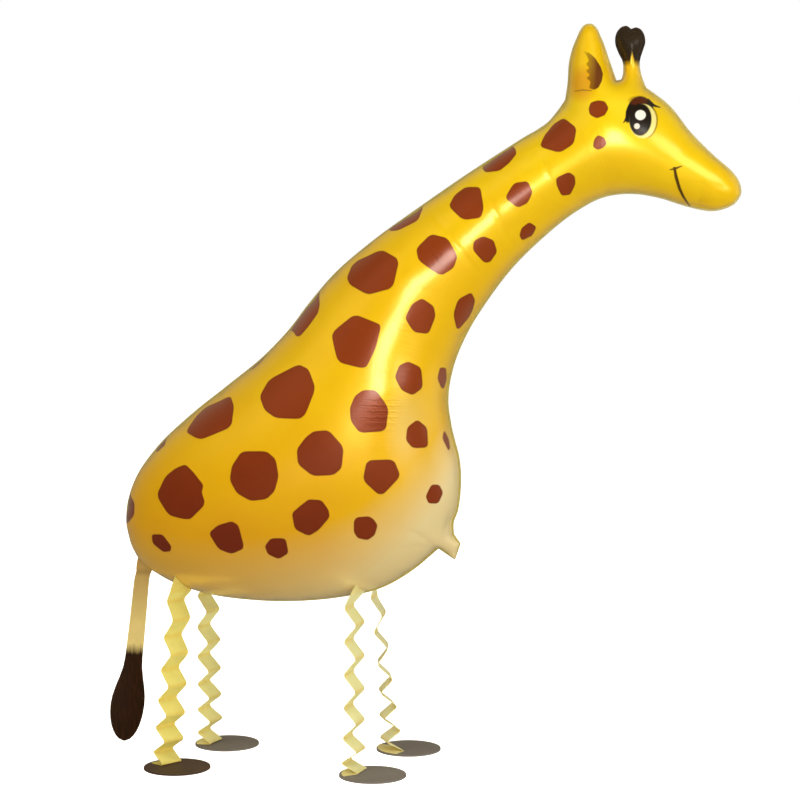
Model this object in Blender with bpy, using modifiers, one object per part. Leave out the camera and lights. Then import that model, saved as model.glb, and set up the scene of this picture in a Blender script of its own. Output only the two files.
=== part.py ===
"""Giraffe foil balloon that stands on four folded paper legs with card feet.

The foil envelope is a flat pattern, cut to the animal's side view, sealed all round and
inflated. Its thickness is worked out from that pattern: the flat outline is filled with
triangles, a membrane equation is solved on them, and both skins are raised by the root
of the answer, which turns a long strip into a round tube and a disc into a cushion.

Units are metres, +X is forward, +Z is up, -Y is the animal's right side.
"""
import math

import bmesh
import bpy
import numpy as np
from mathutils import Vector
from mathutils.bvhtree import BVHTree
from mathutils.geometry import delaunay_2d_cdt

# Envelope
ENVELOPE_HEIGHT = 0.690
BELLY_CLEARANCE = 0.194
SEAM_WIDTH = 0.004
SEAM_THICKNESS = 0.0008
FULLNESS = 1.0
FLATTENING = 2.76

# Paper legs
STRIP_WIDTH = 0.030
STRIP_THICKNESS = 0.0006
PANEL_LENGTH = 0.026
TOP_TAB_LENGTH = 0.020
LEG_TO_SEAM = 0.022
MEAN_OPENING = 0.72

# Card feet
FOOT_DIAMETER = 0.080
FOOT_THICKNESS = 0.002

# Tail
TAIL_FLOOR_GAP = 0.015
TAIL_LEAN = 0.026
TAIL_THICKNESS = 0.0006
STRAP_WIDTH = 0.018
STRAP_END_WIDTH = 0.022
TUFT_WIDTH = 0.043
TUFT_LENGTH = 0.104
TUFT_WIDEST = 0.55
TAIL_TIP_WIDTH = 0.002
TAIL_PLACE = -0.4623

# Fits
CLEARANCE = 0.0003
TAB_CLEARANCE = 0.0004
SEAM_EDGE_MARGIN = 0.0008
FOOT_TAB_MARGIN = 0.004

# Mesh detail, the first three in shares of the envelope's height
RING_DEPTHS = (0.0010, 0.0043, 0.0109, 0.0217)
FILL_SPACING = 0.0225
RING_CLEARANCE = 0.85
MERGE_DISTANCE = 0.00005
STRIP_COLUMNS = 5
TAB_CELLS = 3
TAB_SAMPLES = 5
TAIL_COLUMNS = 4
TAIL_ROWS = 20
TIP_CROWDING = 1.5
FOOT_SEGMENTS = 48
SHARP_ANGLE = math.radians(35.0)

# Outline of the sealed pattern in shares of the envelope's height, measured from the
# lowest point of the belly and from the plane over the front feet. Each stretch is one
# smooth curve with its own point spacing, corners lie where two stretches meet, and the
# loop runs clockwise.
OUTLINE = {
    "back": (
        0.0232,
        [(0.068, 0.099), (0.024, 0.061), (-0.031, 0.028), (-0.106, 0.009), (-0.185, 0.000),
         (-0.269, 0.000), (-0.360, 0.012), (-0.424, 0.035), (-0.469, 0.067), (-0.491, 0.115),
         (-0.493, 0.157), (-0.477, 0.211), (-0.440, 0.265), (-0.375, 0.327), (-0.304, 0.383),
         (-0.243, 0.432), (-0.198, 0.478), (-0.158, 0.529), (-0.117, 0.576), (-0.055, 0.629),
         (0.033, 0.692), (0.120, 0.751), (0.208, 0.807), (0.258, 0.839), (0.284, 0.873)],
    ),
    "ear": (
        0.0130,
        [(0.284, 0.873), (0.288, 0.900), (0.291, 0.940), (0.303, 0.977), (0.318, 1.000),
         (0.331, 1.000), (0.343, 0.981), (0.359, 0.939), (0.371, 0.905)],
    ),
    "horn": (
        0.0087,
        [(0.371, 0.905), (0.378, 0.906), (0.382, 0.921), (0.381, 0.937), (0.374, 0.951),
         (0.368, 0.971), (0.372, 0.988), (0.386, 0.997), (0.396, 0.991), (0.405, 0.994),
         (0.414, 0.987), (0.419, 0.970), (0.414, 0.952), (0.410, 0.937), (0.413, 0.914),
         (0.421, 0.893)],
    ),
    "front": (
        0.0203,
        [(0.421, 0.893), (0.459, 0.864), (0.498, 0.816), (0.536, 0.778), (0.572, 0.744),
         (0.583, 0.721), (0.573, 0.699), (0.538, 0.685), (0.493, 0.692), (0.444, 0.707),
         (0.399, 0.714), (0.347, 0.707), (0.304, 0.684), (0.246, 0.638), (0.193, 0.585),
         (0.155, 0.535), (0.120, 0.479), (0.093, 0.413), (0.085, 0.360), (0.092, 0.308),
         (0.105, 0.256), (0.107, 0.204), (0.100, 0.158), (0.093, 0.137), (0.097, 0.121),
         (0.107, 0.109)],
    ),
    "valve_end": (
        0.0130,
        [(0.107, 0.109), (0.097, 0.080)],
    ),
    "valve_under": (
        0.0130,
        [(0.097, 0.080), (0.068, 0.099)],
    ),
}

# Each leg: where it hangs from the belly, where its last fold stands on the card foot
# and the middle of that foot, in shares of the envelope's height, then how far its folds
# are turned above and below, in degrees. Closing is the share by which the lowest panel
# is more closed than the highest, and how late down the strip that sets in.
LEGS = {
    "rear_right": {"top_x": -0.381, "end": (-0.388, -0.088), "foot": (-0.378, -0.099),
                   "turn": (27.0, 36.0), "closing": (0.40, 1.0)},
    "rear_left": {"top_x": -0.358, "end": (-0.348, 0.081), "foot": (-0.333, 0.086),
                  "turn": (18.0, 16.0), "closing": (0.35, 1.0)},
    "front_right": {"top_x": -0.071, "end": (-0.051, -0.087), "foot": (-0.032, -0.099),
                    "turn": (11.0, 11.0), "closing": (0.45, 4.0)},
    "front_left": {"top_x": -0.052, "end": (-0.013, 0.086), "foot": (0.000, 0.099),
                   "turn": (9.0, -30.0), "closing": (0.45, 1.0)},
}

# Base colour, roughness and metallic value of each material
MATERIALS = {
    "printed_foil": ((0.84, 0.52, 0.03), 0.22, 0.35),
    "leg_paper": ((0.86, 0.74, 0.28), 0.55, 0.0),
    "foot_card": ((0.10, 0.09, 0.08), 0.60, 0.0),
    "tail_foil": ((0.30, 0.16, 0.06), 0.40, 0.1),
}

COLLECTION = "giraffe_foil_balloon"


def clear_scene():
    for old in list(bpy.data.objects):
        bpy.data.objects.remove(old, do_unlink=True)


def make_material(name, colour, roughness, metallic):
    material = bpy.data.materials.new(name)
    material.use_nodes = True
    shader = material.node_tree.nodes["Principled BSDF"]
    shader.inputs["Base Color"].default_value = (*colour, 1.0)
    shader.inputs["Roughness"].default_value = roughness
    shader.inputs["Metallic"].default_value = metallic
    return material


def smooth_curve(points, spacing):
    """Points at an even spacing along one smooth curve through the given points."""
    steps = np.linalg.norm(np.diff(points, axis=0), axis=1)
    knots = np.concatenate([[0.0], np.cumsum(steps)])
    tangents = np.gradient(points, knots, axis=0)
    count = max(1, round(knots[-1] / spacing))
    places = np.linspace(0.0, knots[-1], count + 1)
    spans = np.clip(np.searchsorted(knots, places, side="right") - 1, 0, len(steps) - 1)
    length = steps[spans][:, None]
    t = (places - knots[spans])[:, None] / length
    start, end = points[spans], points[spans + 1]
    leave, arrive = tangents[spans] * length, tangents[spans + 1] * length
    return ((2 * t**3 - 3 * t**2 + 1) * start + (t**3 - 2 * t**2 + t) * leave
            + (3 * t**2 - 2 * t**3) * end + (t**3 - t**2) * arrive)


def pattern_outline():
    """The sealed pattern's outer edge, counter-clockwise seen from the right side."""
    loop = []
    for spacing, shares in OUTLINE.values():
        loop.extend(smooth_curve(np.array(shares), spacing)[:-1])
    loop = np.array(loop)[::-1] * ENVELOPE_HEIGHT
    loop[:, 1] += BELLY_CLEARANCE - loop[:, 1].min()
    return loop


def inward_normals(loop):
    along = np.roll(loop, -1, axis=0) - np.roll(loop, 1, axis=0)
    along /= np.linalg.norm(along, axis=1)[:, None]
    return np.column_stack([-along[:, 1], along[:, 0]])


def distance_to_loop(points, loop):
    """Shortest distance from each point to the closed loop's edges."""
    start = loop[None, :, :]
    edge = (np.roll(loop, -1, axis=0) - loop)[None, :, :]
    away = points[:, None, :] - start
    share = np.clip((away * edge).sum(-1) / (edge**2).sum(-1), 0.0, 1.0)
    return np.linalg.norm(away - share[..., None] * edge, axis=-1).min(axis=1)


def inside_loop(points, loop):
    """True where a point lies inside the closed loop, by counting crossings."""
    ends = np.roll(loop, -1, axis=0)
    x, z = points[:, :1], points[:, 1:]
    straddles = (loop[:, 1] > z) != (ends[:, 1] > z)
    rise = np.where(ends[:, 1] == loop[:, 1], 1.0, ends[:, 1] - loop[:, 1])
    crossing = loop[:, 0] + (z - loop[:, 1]) * (ends[:, 0] - loop[:, 0]) / rise
    return (straddles & (x < crossing)).sum(axis=1) % 2 == 1


def keep_apart(kept, candidates, gap):
    """The candidates that stay at least gap from the kept points and each other."""
    for point in candidates:
        if len(kept) == 0 or np.linalg.norm(np.array(kept) - point, axis=1).min() >= gap:
            kept.append(point)
    return kept


def fill_points(seam):
    """Rings of points just inside the seam, then an even triangular grid."""
    normals = inward_normals(seam)
    closest = np.linalg.norm(np.roll(seam, -1, axis=0) - seam, axis=1).min()
    depths = np.array(RING_DEPTHS) * ENVELOPE_HEIGHT
    filled = []
    for depth in depths:
        ring = seam + normals * depth
        clear = distance_to_loop(ring, seam) >= RING_CLEARANCE * depth
        ring = ring[clear & inside_loop(ring, seam)]
        filled = keep_apart(filled, ring, max(depth, closest) / 2)
    low, high = seam.min(axis=0), seam.max(axis=0)
    spacing = FILL_SPACING * ENVELOPE_HEIGHT
    row_height = spacing * math.sqrt(3) / 2
    grid = []
    for row in range(int((high[1] - low[1]) / row_height) + 1):
        for x in np.arange(low[0] + spacing / 2 * (row % 2), high[0], spacing):
            grid.append((x, low[1] + row * row_height))
    grid = np.array(grid)
    grid = grid[inside_loop(grid, seam)]
    grid = grid[distance_to_loop(grid, seam) >= depths[-1] + spacing / 2]
    return keep_apart(filled, grid, spacing / 2)


def triangulate(seam):
    """Triangles over the whole pattern inside the seam."""
    points = [Vector(p) for p in seam] + [Vector(p) for p in fill_points(seam)]
    inside_only = 1
    tolerance = 1e-7
    result = delaunay_2d_cdt(points, [], [list(range(len(seam)))], inside_only, tolerance)
    vertices = np.array([tuple(v) for v in result[0]])
    triangles = np.array(result[2])
    on_seam = np.full(len(vertices), -1)
    for index, sources in enumerate(result[3]):
        for source in sources:
            if source < len(seam):
                on_seam[index] = source
    return vertices, triangles, on_seam


def inflate(vertices, triangles, on_seam):
    """Half thickness at every vertex: the membrane equation, held at nought on the seam."""
    count = len(vertices)
    stiffness = np.zeros((count, count))
    area_share = np.zeros(count)
    corners = vertices[triangles]
    for k in range(3):
        a, b, c = (triangles[:, (k + n) % 3] for n in range(3))
        to_b = corners[:, (k + 1) % 3] - corners[:, k]
        to_c = corners[:, (k + 2) % 3] - corners[:, k]
        double_area = np.abs(to_b[:, 0] * to_c[:, 1] - to_b[:, 1] * to_c[:, 0])
        weight = (to_b * to_c).sum(axis=1) / (2.0 * double_area)
        np.add.at(stiffness, (b, c), -weight)
        np.add.at(stiffness, (c, b), -weight)
        np.add.at(stiffness, (b, b), weight)
        np.add.at(stiffness, (c, c), weight)
        np.add.at(area_share, a, double_area / 6.0)
    pull = (FLATTENING / ENVELOPE_HEIGHT) ** 2
    stiffness[np.diag_indices(count)] += pull * area_share
    free = on_seam < 0
    raised = np.zeros(count)
    raised[free] = np.linalg.solve(stiffness[np.ix_(free, free)], 2.0 * area_share[free])
    return FULLNESS * np.sqrt(np.maximum(raised, 0.0))


def build_envelope(collection, material):
    """The right half, an inflated skin with its half of the flat seam, then its mirror."""
    outline = pattern_outline()
    seam = outline + inward_normals(outline) * SEAM_WIDTH
    vertices, triangles, on_seam = triangulate(seam)
    height = inflate(vertices, triangles, on_seam)
    half_seam = SEAM_THICKNESS / 2
    mesh = bmesh.new()
    skin = [mesh.verts.new((x, -(half_seam + h), z)) for (x, z), h in zip(vertices, height)]
    for triangle in triangles:
        mesh.faces.new([skin[i] for i in triangle])
    edge = {source: skin[index] for index, source in enumerate(on_seam) if source >= 0}
    rim = [mesh.verts.new((x, -half_seam, z)) for x, z in outline]
    middle = [mesh.verts.new((x, 0.0, z)) for x, z in outline]
    for i in range(len(outline)):
        j = (i + 1) % len(outline)
        mesh.faces.new([rim[i], rim[j], edge[j], edge[i]])
        mesh.faces.new([middle[i], middle[j], rim[j], rim[i]])
    bmesh.ops.triangulate(mesh, faces=mesh.faces)
    envelope = add_object("foil_envelope", mesh, collection, material)
    mirror = envelope.modifiers.new("left_half", "MIRROR")
    mirror.use_axis = (False, True, False)
    mirror.merge_threshold = MERGE_DISTANCE
    return envelope, outline


def add_object(name, mesh, collection, material):
    """Turns a finished bmesh into an object of the collection, shaded smooth."""
    data = bpy.data.meshes.new(name)
    mesh.to_mesh(data)
    mesh.free()
    data.shade_smooth()
    data.set_sharp_from_angle(angle=SHARP_ANGLE)
    data.materials.append(material)
    thing = bpy.data.objects.new(name, data)
    collection.objects.link(thing)
    return thing


def ribbon(name, rows, thickness, collection, material):
    """A thin strip through rows of points, given its thickness by Solidify."""
    mesh = bmesh.new()
    grid = [[mesh.verts.new(point) for point in row] for row in rows]
    for upper, lower in zip(grid, grid[1:]):
        for k in range(len(upper) - 1):
            mesh.faces.new([upper[k], upper[k + 1], lower[k + 1], lower[k]])
    bmesh.ops.triangulate(mesh, faces=mesh.faces)
    strip = add_object(name, mesh, collection, material)
    solid = strip.modifiers.new("thickness", "SOLIDIFY")
    solid.thickness = thickness
    solid.offset = 0.0
    solid.use_even_offset = True


def underside(tree, x, y):
    """Height of the envelope's underside over a point of the floor."""
    hit = tree.ray_cast(Vector((x, y, 0.0)), Vector((0.0, 0.0, 1.0)))
    return hit[0].z


def fold_directions(degrees):
    """Unit vectors along a fold, towards the right side, and across it, forward."""
    turn = math.radians(degrees)
    along = np.array([-math.sin(turn), -math.cos(turn)])
    across = np.array([math.cos(turn), -math.sin(turn)])
    return along, across


def leg_folds(drop, closing):
    """Fall of each panel and how far each fold stands out, from the top fold down."""
    panels = math.ceil(drop / (MEAN_OPENING * PANEL_LENGTH))
    panels += panels % 2
    loss, lateness = closing
    weights = 1.0 - loss * np.linspace(0.0, 1.0, panels) ** lateness
    falls = drop * weights / weights.sum()
    runs = np.sqrt(PANEL_LENGTH**2 - falls**2)
    padded = np.concatenate([runs[:1], runs, runs[-1:]])
    reach = (padded[:-1] + padded[1:]) / 4
    return falls, reach


def hang_height(tree, rows):
    """How far rows laid on the underside must sink so that no cell between them cuts it."""
    deepest = 0.0
    for upper, lower in zip(rows, rows[1:]):
        for k in range(len(upper) - 1):
            a, b, c, d = (np.array(p) for p in (upper[k], upper[k + 1], lower[k + 1], lower[k]))
            for u in np.linspace(0.0, 1.0, TAB_SAMPLES):
                for v in np.linspace(0.0, 1.0, TAB_SAMPLES):
                    x, y, z = (a * (1 - u) + b * u) * (1 - v) + (d * (1 - u) + c * u) * v
                    deepest = max(deepest, z - underside(tree, x, y))
    return deepest


def build_leg(name, leg, tree, collection, material):
    """One paper strip, folded like an accordion from the belly down to its foot."""
    turn_top, turn_end = leg["turn"]
    end, foot = (np.array(leg[place]) * ENVELOPE_HEIGHT for place in ("end", "foot"))
    spread = math.copysign(LEG_TO_SEAM + STRIP_WIDTH / 2, end[1])
    top = np.array([leg["top_x"] * ENVELOPE_HEIGHT, spread])
    floor_z = FOOT_THICKNESS + CLEARANCE + STRIP_THICKNESS / 2
    falls, reach = leg_folds(underside(tree, *top) - floor_z, leg["closing"])
    widths = np.linspace(-0.5, 0.5, STRIP_COLUMNS) * STRIP_WIDTH
    along, across = fold_directions(turn_top)
    tab = []
    for k in range(TAB_CELLS, -1, -1):
        centre = top + across * (reach[0] - TOP_TAB_LENGTH * k / TAB_CELLS)
        flat = [centre + along * w for w in widths]
        tab.append([(x, y, underside(tree, x, y)) for x, y in flat])
    sink = hang_height(tree, tab) + TAB_CLEARANCE + STRIP_THICKNESS / 2
    rows = [[(x, y, z - sink) for x, y, z in row] for row in tab]
    belly_z = underside(tree, *top) - sink
    fallen = np.cumsum(falls) * (belly_z - floor_z) / falls.sum()
    bottom = end - fold_directions(turn_end)[1] * reach[-1]
    for k in range(1, len(reach)):
        share = fallen[k - 1] / fallen[-1]
        along, across = fold_directions(turn_top + (turn_end - turn_top) * share)
        centre = top + (bottom - top) * share + across * reach[k] * (-1) ** k
        rows.append([(*(centre + along * w), belly_z - fallen[k - 1]) for w in widths])
    chord = math.sqrt((FOOT_DIAMETER / 2) ** 2 - (STRIP_WIDTH / 2) ** 2)
    tab_length = chord - np.linalg.norm(foot - end) - FOOT_TAB_MARGIN
    back = np.array([*(-across * tab_length), 0.0])
    rows.append([tuple(np.array(point) + back) for point in rows[-1]])
    ribbon("leg_" + name, rows, STRIP_THICKNESS, collection, material)


def build_foot(name, leg, collection, material):
    """A round of card, flat on the floor."""
    x, y = (share * ENVELOPE_HEIGHT for share in leg["foot"])
    bpy.ops.mesh.primitive_cylinder_add(
        vertices=FOOT_SEGMENTS, radius=FOOT_DIAMETER / 2, depth=FOOT_THICKNESS,
        location=(x, y, FOOT_THICKNESS / 2))
    disc = bpy.context.object
    for other in disc.users_collection:
        other.objects.unlink(disc)
    collection.objects.link(disc)
    disc.name = disc.data.name = "foot_" + name
    disc.data.shade_smooth()
    disc.data.set_sharp_from_angle(angle=SHARP_ANGLE)
    disc.data.materials.append(material)


def rump_edge(outline, x):
    """Lowest point of the outline at x, and the inward direction there."""
    ends = np.roll(outline, -1, axis=0)
    crosses = (outline[:, 0] > x) != (ends[:, 0] > x)
    start, end = outline[crosses], ends[crosses]
    z = start[:, 1] + (x - start[:, 0]) * (end[:, 1] - start[:, 1]) / (end[:, 0] - start[:, 0])
    low = z.argmin()
    along = (end[low] - start[low]) / np.linalg.norm(end[low] - start[low])
    return np.array([x, z[low]]), np.array([-along[1], along[0]])


def tail_width(share, length):
    """Width of the tail at a share of its length: a widening strap, then the tuft."""
    tuft_start = 1.0 - TUFT_LENGTH / length
    if share <= tuft_start:
        return STRAP_WIDTH + (STRAP_END_WIDTH - STRAP_WIDTH) * share / tuft_start
    u = (share - tuft_start) / (1.0 - tuft_start)
    if u < TUFT_WIDEST:
        swell = 0.5 - 0.5 * math.cos(math.pi * u / TUFT_WIDEST)
        return STRAP_END_WIDTH + (TUFT_WIDTH - STRAP_END_WIDTH) * swell
    return TUFT_WIDTH * math.sqrt(1.0 - ((u - TUFT_WIDEST) / (1.0 - TUFT_WIDEST)) ** 2)


def build_tail(outline, collection, material):
    """A flat strap with a wide tuft that hangs from the seam at the rump."""
    level = -(SEAM_THICKNESS / 2 + CLEARANCE + TAIL_THICKNESS / 2)
    across = np.linspace(-0.5, 0.5, TAIL_COLUMNS)
    place = TAIL_PLACE * ENVELOPE_HEIGHT
    top_row = []
    for share in across:
        point, inward = rump_edge(outline, place + share * STRAP_WIDTH)
        point = point + inward * (SEAM_WIDTH - SEAM_EDGE_MARGIN)
        top_row.append((point[0], level, point[1]))
    top_z = np.mean([p[2] for p in top_row])
    length = top_z - TAIL_FLOOR_GAP
    rows = [top_row]
    for k in range(1, TAIL_ROWS + 1):
        share = 1.0 - (1.0 - k / TAIL_ROWS) ** TIP_CROWDING
        width = max(tail_width(share, length), TAIL_TIP_WIDTH)
        x = place - TAIL_LEAN * share
        z = top_z - length * share
        rows.append([(x + s * width, level, z) for s in across])
    ribbon("tail", rows, TAIL_THICKNESS, collection, material)


def stand_on_origin(collection):
    """Moves everything so the origin is under the middle of the model, on the floor."""
    bpy.context.view_layer.update()
    graph = bpy.context.evaluated_depsgraph_get()
    corners = []
    for thing in collection.objects:
        if thing.type == "MESH":
            evaluated = thing.evaluated_get(graph)
            corners += [evaluated.matrix_world @ Vector(c) for c in evaluated.bound_box]
    corners = np.array([tuple(c) for c in corners])
    low, high = corners.min(axis=0), corners.max(axis=0)
    base = bpy.data.objects.new("base", None)
    collection.objects.link(base)
    for thing in collection.objects:
        if thing is not base:
            thing.parent = base
    base.location = (-(low[0] + high[0]) / 2, -(low[1] + high[1]) / 2, -low[2])


def main():
    clear_scene()
    collection = bpy.data.collections.new(COLLECTION)
    bpy.context.scene.collection.children.link(collection)
    materials = {name: make_material(name, *looks) for name, looks in MATERIALS.items()}
    envelope, outline = build_envelope(collection, materials["printed_foil"])
    tree = BVHTree.FromObject(envelope, bpy.context.evaluated_depsgraph_get())
    for name, leg in LEGS.items():
        build_leg(name, leg, tree, collection, materials["leg_paper"])
        build_foot(name, leg, collection, materials["foot_card"])
    build_tail(outline, collection, materials["tail_foil"])
    stand_on_origin(collection)


main()
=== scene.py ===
"""The looks of a walking giraffe foil balloon.

The frame's flat outline is inflated again as a fine mesh, with its seam and puckers,
and carries the printed giraffe. Folded paper legs, card feet and a foil tail complete it.
"""

import math

import bmesh
import bpy
import numpy as np
from bpy.props import FloatProperty, FloatVectorProperty, IntProperty, PointerProperty
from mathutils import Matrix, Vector, noise
from mathutils.bvhtree import BVHTree
from mathutils.geometry import delaunay_2d_cdt
from mathutils.kdtree import KDTree


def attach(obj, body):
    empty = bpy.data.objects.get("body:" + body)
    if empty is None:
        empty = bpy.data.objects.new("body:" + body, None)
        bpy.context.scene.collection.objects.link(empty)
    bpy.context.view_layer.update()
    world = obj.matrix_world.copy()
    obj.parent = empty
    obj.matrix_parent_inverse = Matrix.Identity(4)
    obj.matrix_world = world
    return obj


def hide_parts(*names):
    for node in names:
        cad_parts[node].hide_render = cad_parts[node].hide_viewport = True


bl_info = {
    "name": "Giraffe Foil Balloon",
    "version": (1, 0, 0),
    "blender": (4, 5, 0),
    "location": "3D View > Sidebar > Balloon",
    "description": "Dresses a walking giraffe foil balloon, piece by piece",
    "category": "Object",
}

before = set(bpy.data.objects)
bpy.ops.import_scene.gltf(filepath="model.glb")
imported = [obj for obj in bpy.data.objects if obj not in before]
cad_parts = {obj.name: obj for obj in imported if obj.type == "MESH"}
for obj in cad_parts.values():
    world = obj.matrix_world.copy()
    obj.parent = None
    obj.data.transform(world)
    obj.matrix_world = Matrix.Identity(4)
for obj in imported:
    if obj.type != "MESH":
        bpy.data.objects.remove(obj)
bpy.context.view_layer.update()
BODY = "root"
SEED = 7

# The photograph's frame, in pixels, and the width of the camera's sensor in millimetres.
PHOTO_SIDE = 800
SENSOR_WIDTH = 36.0

# The slightly warm white of the studio lamps, and the yellow tint of the room's own light.
WARM = (1.0, 0.965, 0.88)
ROOM_TINT = (1.0, 0.88, 0.62)
WHITE = (1.0, 1.0, 1.0)
# The main softbox, near the neck, and the one that lights the muzzle: place, aim and size.
KEY_LAMP = ((0.35, -1.2, 0.75), (0.05, 0.0, 0.6), (0.36, 0.36))
BROW_LAMP = ((1.9, -1.4, 1.32), (0.25, 0.0, 0.72), (1.3, 1.0))
# The lamps round the giraffe: the angle round it and above it in degrees, and their size.
LAMPS_AROUND = (
    ("edge", 118, 8, (2.2, 2.2)),
    ("side", 60, -4, (1.6, 1.6)),
    ("low", 5, -4, (3.2, 0.45)),
    ("fill", -55, 40, (2.4, 2.0)),
    ("top", 40, 55, (2.0, 2.0)),
    ("back", 210, 35, (2.0, 2.0)),
)
LAMP_DISTANCE = 3.0
FLOOR_RADIUS = 14.0
# The room's light rises over these parts of a unit direction: to the back, and upwards from
# its dimmest, below.
ROOM_BACK = (-0.1, 0.7)
ROOM_FOOT = (-0.6, 0.1)
ROOM_FOOT_LIGHT = 0.95

# A turn of the outline sharper than these, in degrees, is a real corner.
CONVEX_CORNER = 52.0
CONCAVE_CORNER = 25.0
CURVE_STEPS = 24
# Shares of the room inside the outline that the seam and the rings of mesh may take.
SEAM_SHARE = 0.6
RING_SHARE = 0.3
# The room is evened out over this many points, and the filling keeps clear by this many spacings.
ROOM_REACH = 4
FILLING_GAP = 0.62

# Spots of the near side: corners in the photograph, in pixels.
SPOTS = (
    ((186, 464), (194, 472), (204, 485), (202, 492), (205, 501), (204, 506), (191, 519),
     (184, 519), (169, 515), (157, 495), (166, 476), (176, 468)),
    ((242, 451), (267, 451), (276, 459), (279, 476), (275, 491), (267, 499), (251, 501),
     (237, 493), (230, 480), (232, 466)),
    ((314, 431), (329, 430), (344, 447), (342, 468), (334, 475), (313, 476), (298, 464),
     (297, 449), (306, 437)),
    ((299, 364), (309, 369), (316, 388), (306, 414), (300, 419), (276, 418), (265, 410),
     (260, 396), (270, 379)),
    ((232, 395), (235, 406), (232, 427), (203, 439), (197, 438), (187, 431), (198, 415),
     (208, 406)),
    ((363, 390), (376, 390), (388, 408), (386, 431), (360, 433), (351, 421), (350, 408),
     (355, 396)),
    ((367, 460), (394, 459), (401, 476), (384, 494), (378, 494), (363, 480)),
    ((309, 499), (322, 500), (329, 510), (330, 517), (319, 530), (309, 536), (295, 529),
     (292, 513), (300, 506)),
    ((357, 517), (369, 516), (374, 519), (378, 525), (375, 535), (368, 540), (358, 538),
     (354, 532), (354, 521)),
    ((232, 521), (239, 525), (245, 548), (232, 554), (219, 549), (209, 533), (218, 525)),
    ((271, 538), (286, 538), (289, 553), (279, 559), (268, 554), (265, 546)),
    ((152, 534), (163, 534), (172, 546), (171, 551), (164, 552), (153, 543)),
    ((408, 361), (421, 367), (422, 387), (411, 395), (400, 390), (394, 377), (399, 365)),
    ((440, 367), (447, 367), (448, 379), (445, 388), (441, 387), (437, 378)),
    ((417, 419), (428, 427), (429, 447), (413, 448), (406, 440), (407, 427)),
    ((445, 429), (451, 437), (453, 447), (450, 450), (443, 438)),
    ((432, 484), (440, 484), (444, 492), (439, 503), (429, 503), (426, 496)),
    ((355, 314), (380, 324), (381, 328), (376, 348), (367, 367), (361, 368), (338, 362),
     (332, 336), (335, 330)),
    ((384, 251), (401, 261), (394, 289), (371, 295), (366, 294), (351, 285), (348, 278),
     (353, 266), (359, 261)),
    ((431, 234), (448, 238), (458, 256), (454, 268), (441, 276), (419, 261), (417, 249)),
    ((466, 187), (481, 187), (484, 208), (481, 218), (463, 220), (449, 206), (455, 195)),
    ((514, 183), (528, 181), (533, 192), (528, 203), (518, 208), (505, 198)),
    ((483, 236), (494, 240), (498, 252), (491, 262), (485, 263), (473, 250), (474, 241)),
    ((530, 222), (537, 227), (533, 236), (523, 241), (520, 236), (522, 228)),
    ((422, 298), (434, 306), (436, 316), (429, 334), (414, 332), (405, 318), (412, 304)),
    ((472, 292), (476, 300), (474, 313), (458, 331), (454, 314), (459, 299)),
    ((564, 118), (577, 128), (574, 144), (560, 153), (540, 147), (544, 136), (554, 124)),
    ((598, 101), (605, 102), (609, 109), (605, 116), (597, 119), (590, 115), (589, 109),
     (591, 103)),
    ((598, 135), (605, 138), (607, 144), (603, 148), (598, 150), (593, 147), (594, 140)),
    ((569, 172), (575, 176), (576, 184), (571, 195), (562, 196), (557, 186), (556, 178)),
)
# Spots that run off the silhouette: their outer corners lie beyond it.
EDGE_SPOTS = (
    ((132, 489), (136, 502), (135, 515), (129, 523), (112, 522), (112, 490)),
    ((158, 452), (166, 445), (168, 440), (160, 430), (144, 448)),
    ((243, 373), (255, 368), (263, 361), (272, 350), (262, 338), (234, 366)),
    ((516, 149), (517, 154), (510, 163), (500, 171), (486, 172), (483, 169), (478, 158),
     (508, 142)),
    ((424, 208), (419, 220), (400, 231), (392, 232), (390, 229), (398, 210), (420, 200)),
    ((322, 289), (321, 304), (319, 313), (310, 326), (301, 336), (297, 336), (295, 332),
     (282, 326), (306, 282)),
)
# How far round a spot its depth is measured, and between which depths its edge is darker.
SPOT_MARGIN = 0.03
SPOT_EDGE = (0.0022, 0.0006)
# The share of each side that is cut off at a spot's corners, twice, and at a line's, three times.
SPOT_CUT = 0.14
LINE_CUT = 0.25

# Where the coat changes colour, in metres: heights, or places along the giraffe. The low heights
# and rear places set the painted shade low down and towards the rear.
LOW_SHADE_HEIGHTS = (0.46, 0.26)
REAR_SHADE_PLACES = (0.06, -0.10)
LEMON_HEIGHTS = (0.60, 0.78)
CROWN_HEIGHTS = (0.79, 0.83)
CREAM_PLACES = (-0.30, 0.02)
# Size of the coat's soft patches.
PATCH = 0.07
# The paler belly starts along this line of the photograph, and fades over these heights round it.
BELLY_LINE = ((110, 548), (150, 560), (200, 572), (260, 572), (320, 562), (360, 544),
              (400, 514), (430, 480), (450, 448), (462, 426))
BELLY_FADE = (-0.045, 0.042)
# A painted highlight on the chest, where the neck's highlight runs on down as a paler coat, given
# as the face's ellipses are.
CHEST_PAINTED_HIGHLIGHT = (408.0, 428.0, 16.0, 34.0, 22.0)

# Half the blur of a printed edge, in pixels.
EDGE_BLUR = 0.45
# The face's ellipses in the photograph: centre, half width and half height in pixels, and how
# many times more blurred than a printed edge they are.
PUPIL = (640.5, 119.6, 11.2, 16.0, 1.3)
EYE_WHITE = (643.0, 121.0, 13.4, 17.0, 1.0)
EYE_RIM = (643.2, 121.0, 14.9, 18.6, 1.0)
LID = (640.0, 116.6, 14.4, 20.4, 1.0)
LID_GLOW = (638.5, 101.0, 9.0, 4.5, 3.0)
PUPIL_SHINE = (641.0, 132.0, 6.0, 3.5, 4.0)
GLINT = (640.6, 115.2, 5.3, 5.0, 1.0)
LOW_GLINT = (637.0, 126.3, 2.9, 2.9, 1.0)
# The lid ends at this pixel's height, half of the blur there, and where to the right of that
# pixel the eye's rim fades in, both in metres.
LID_END = (640.0, 123.0)
LID_BLUR = 0.0015
RIM_START = (0.006, 0.012)
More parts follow.
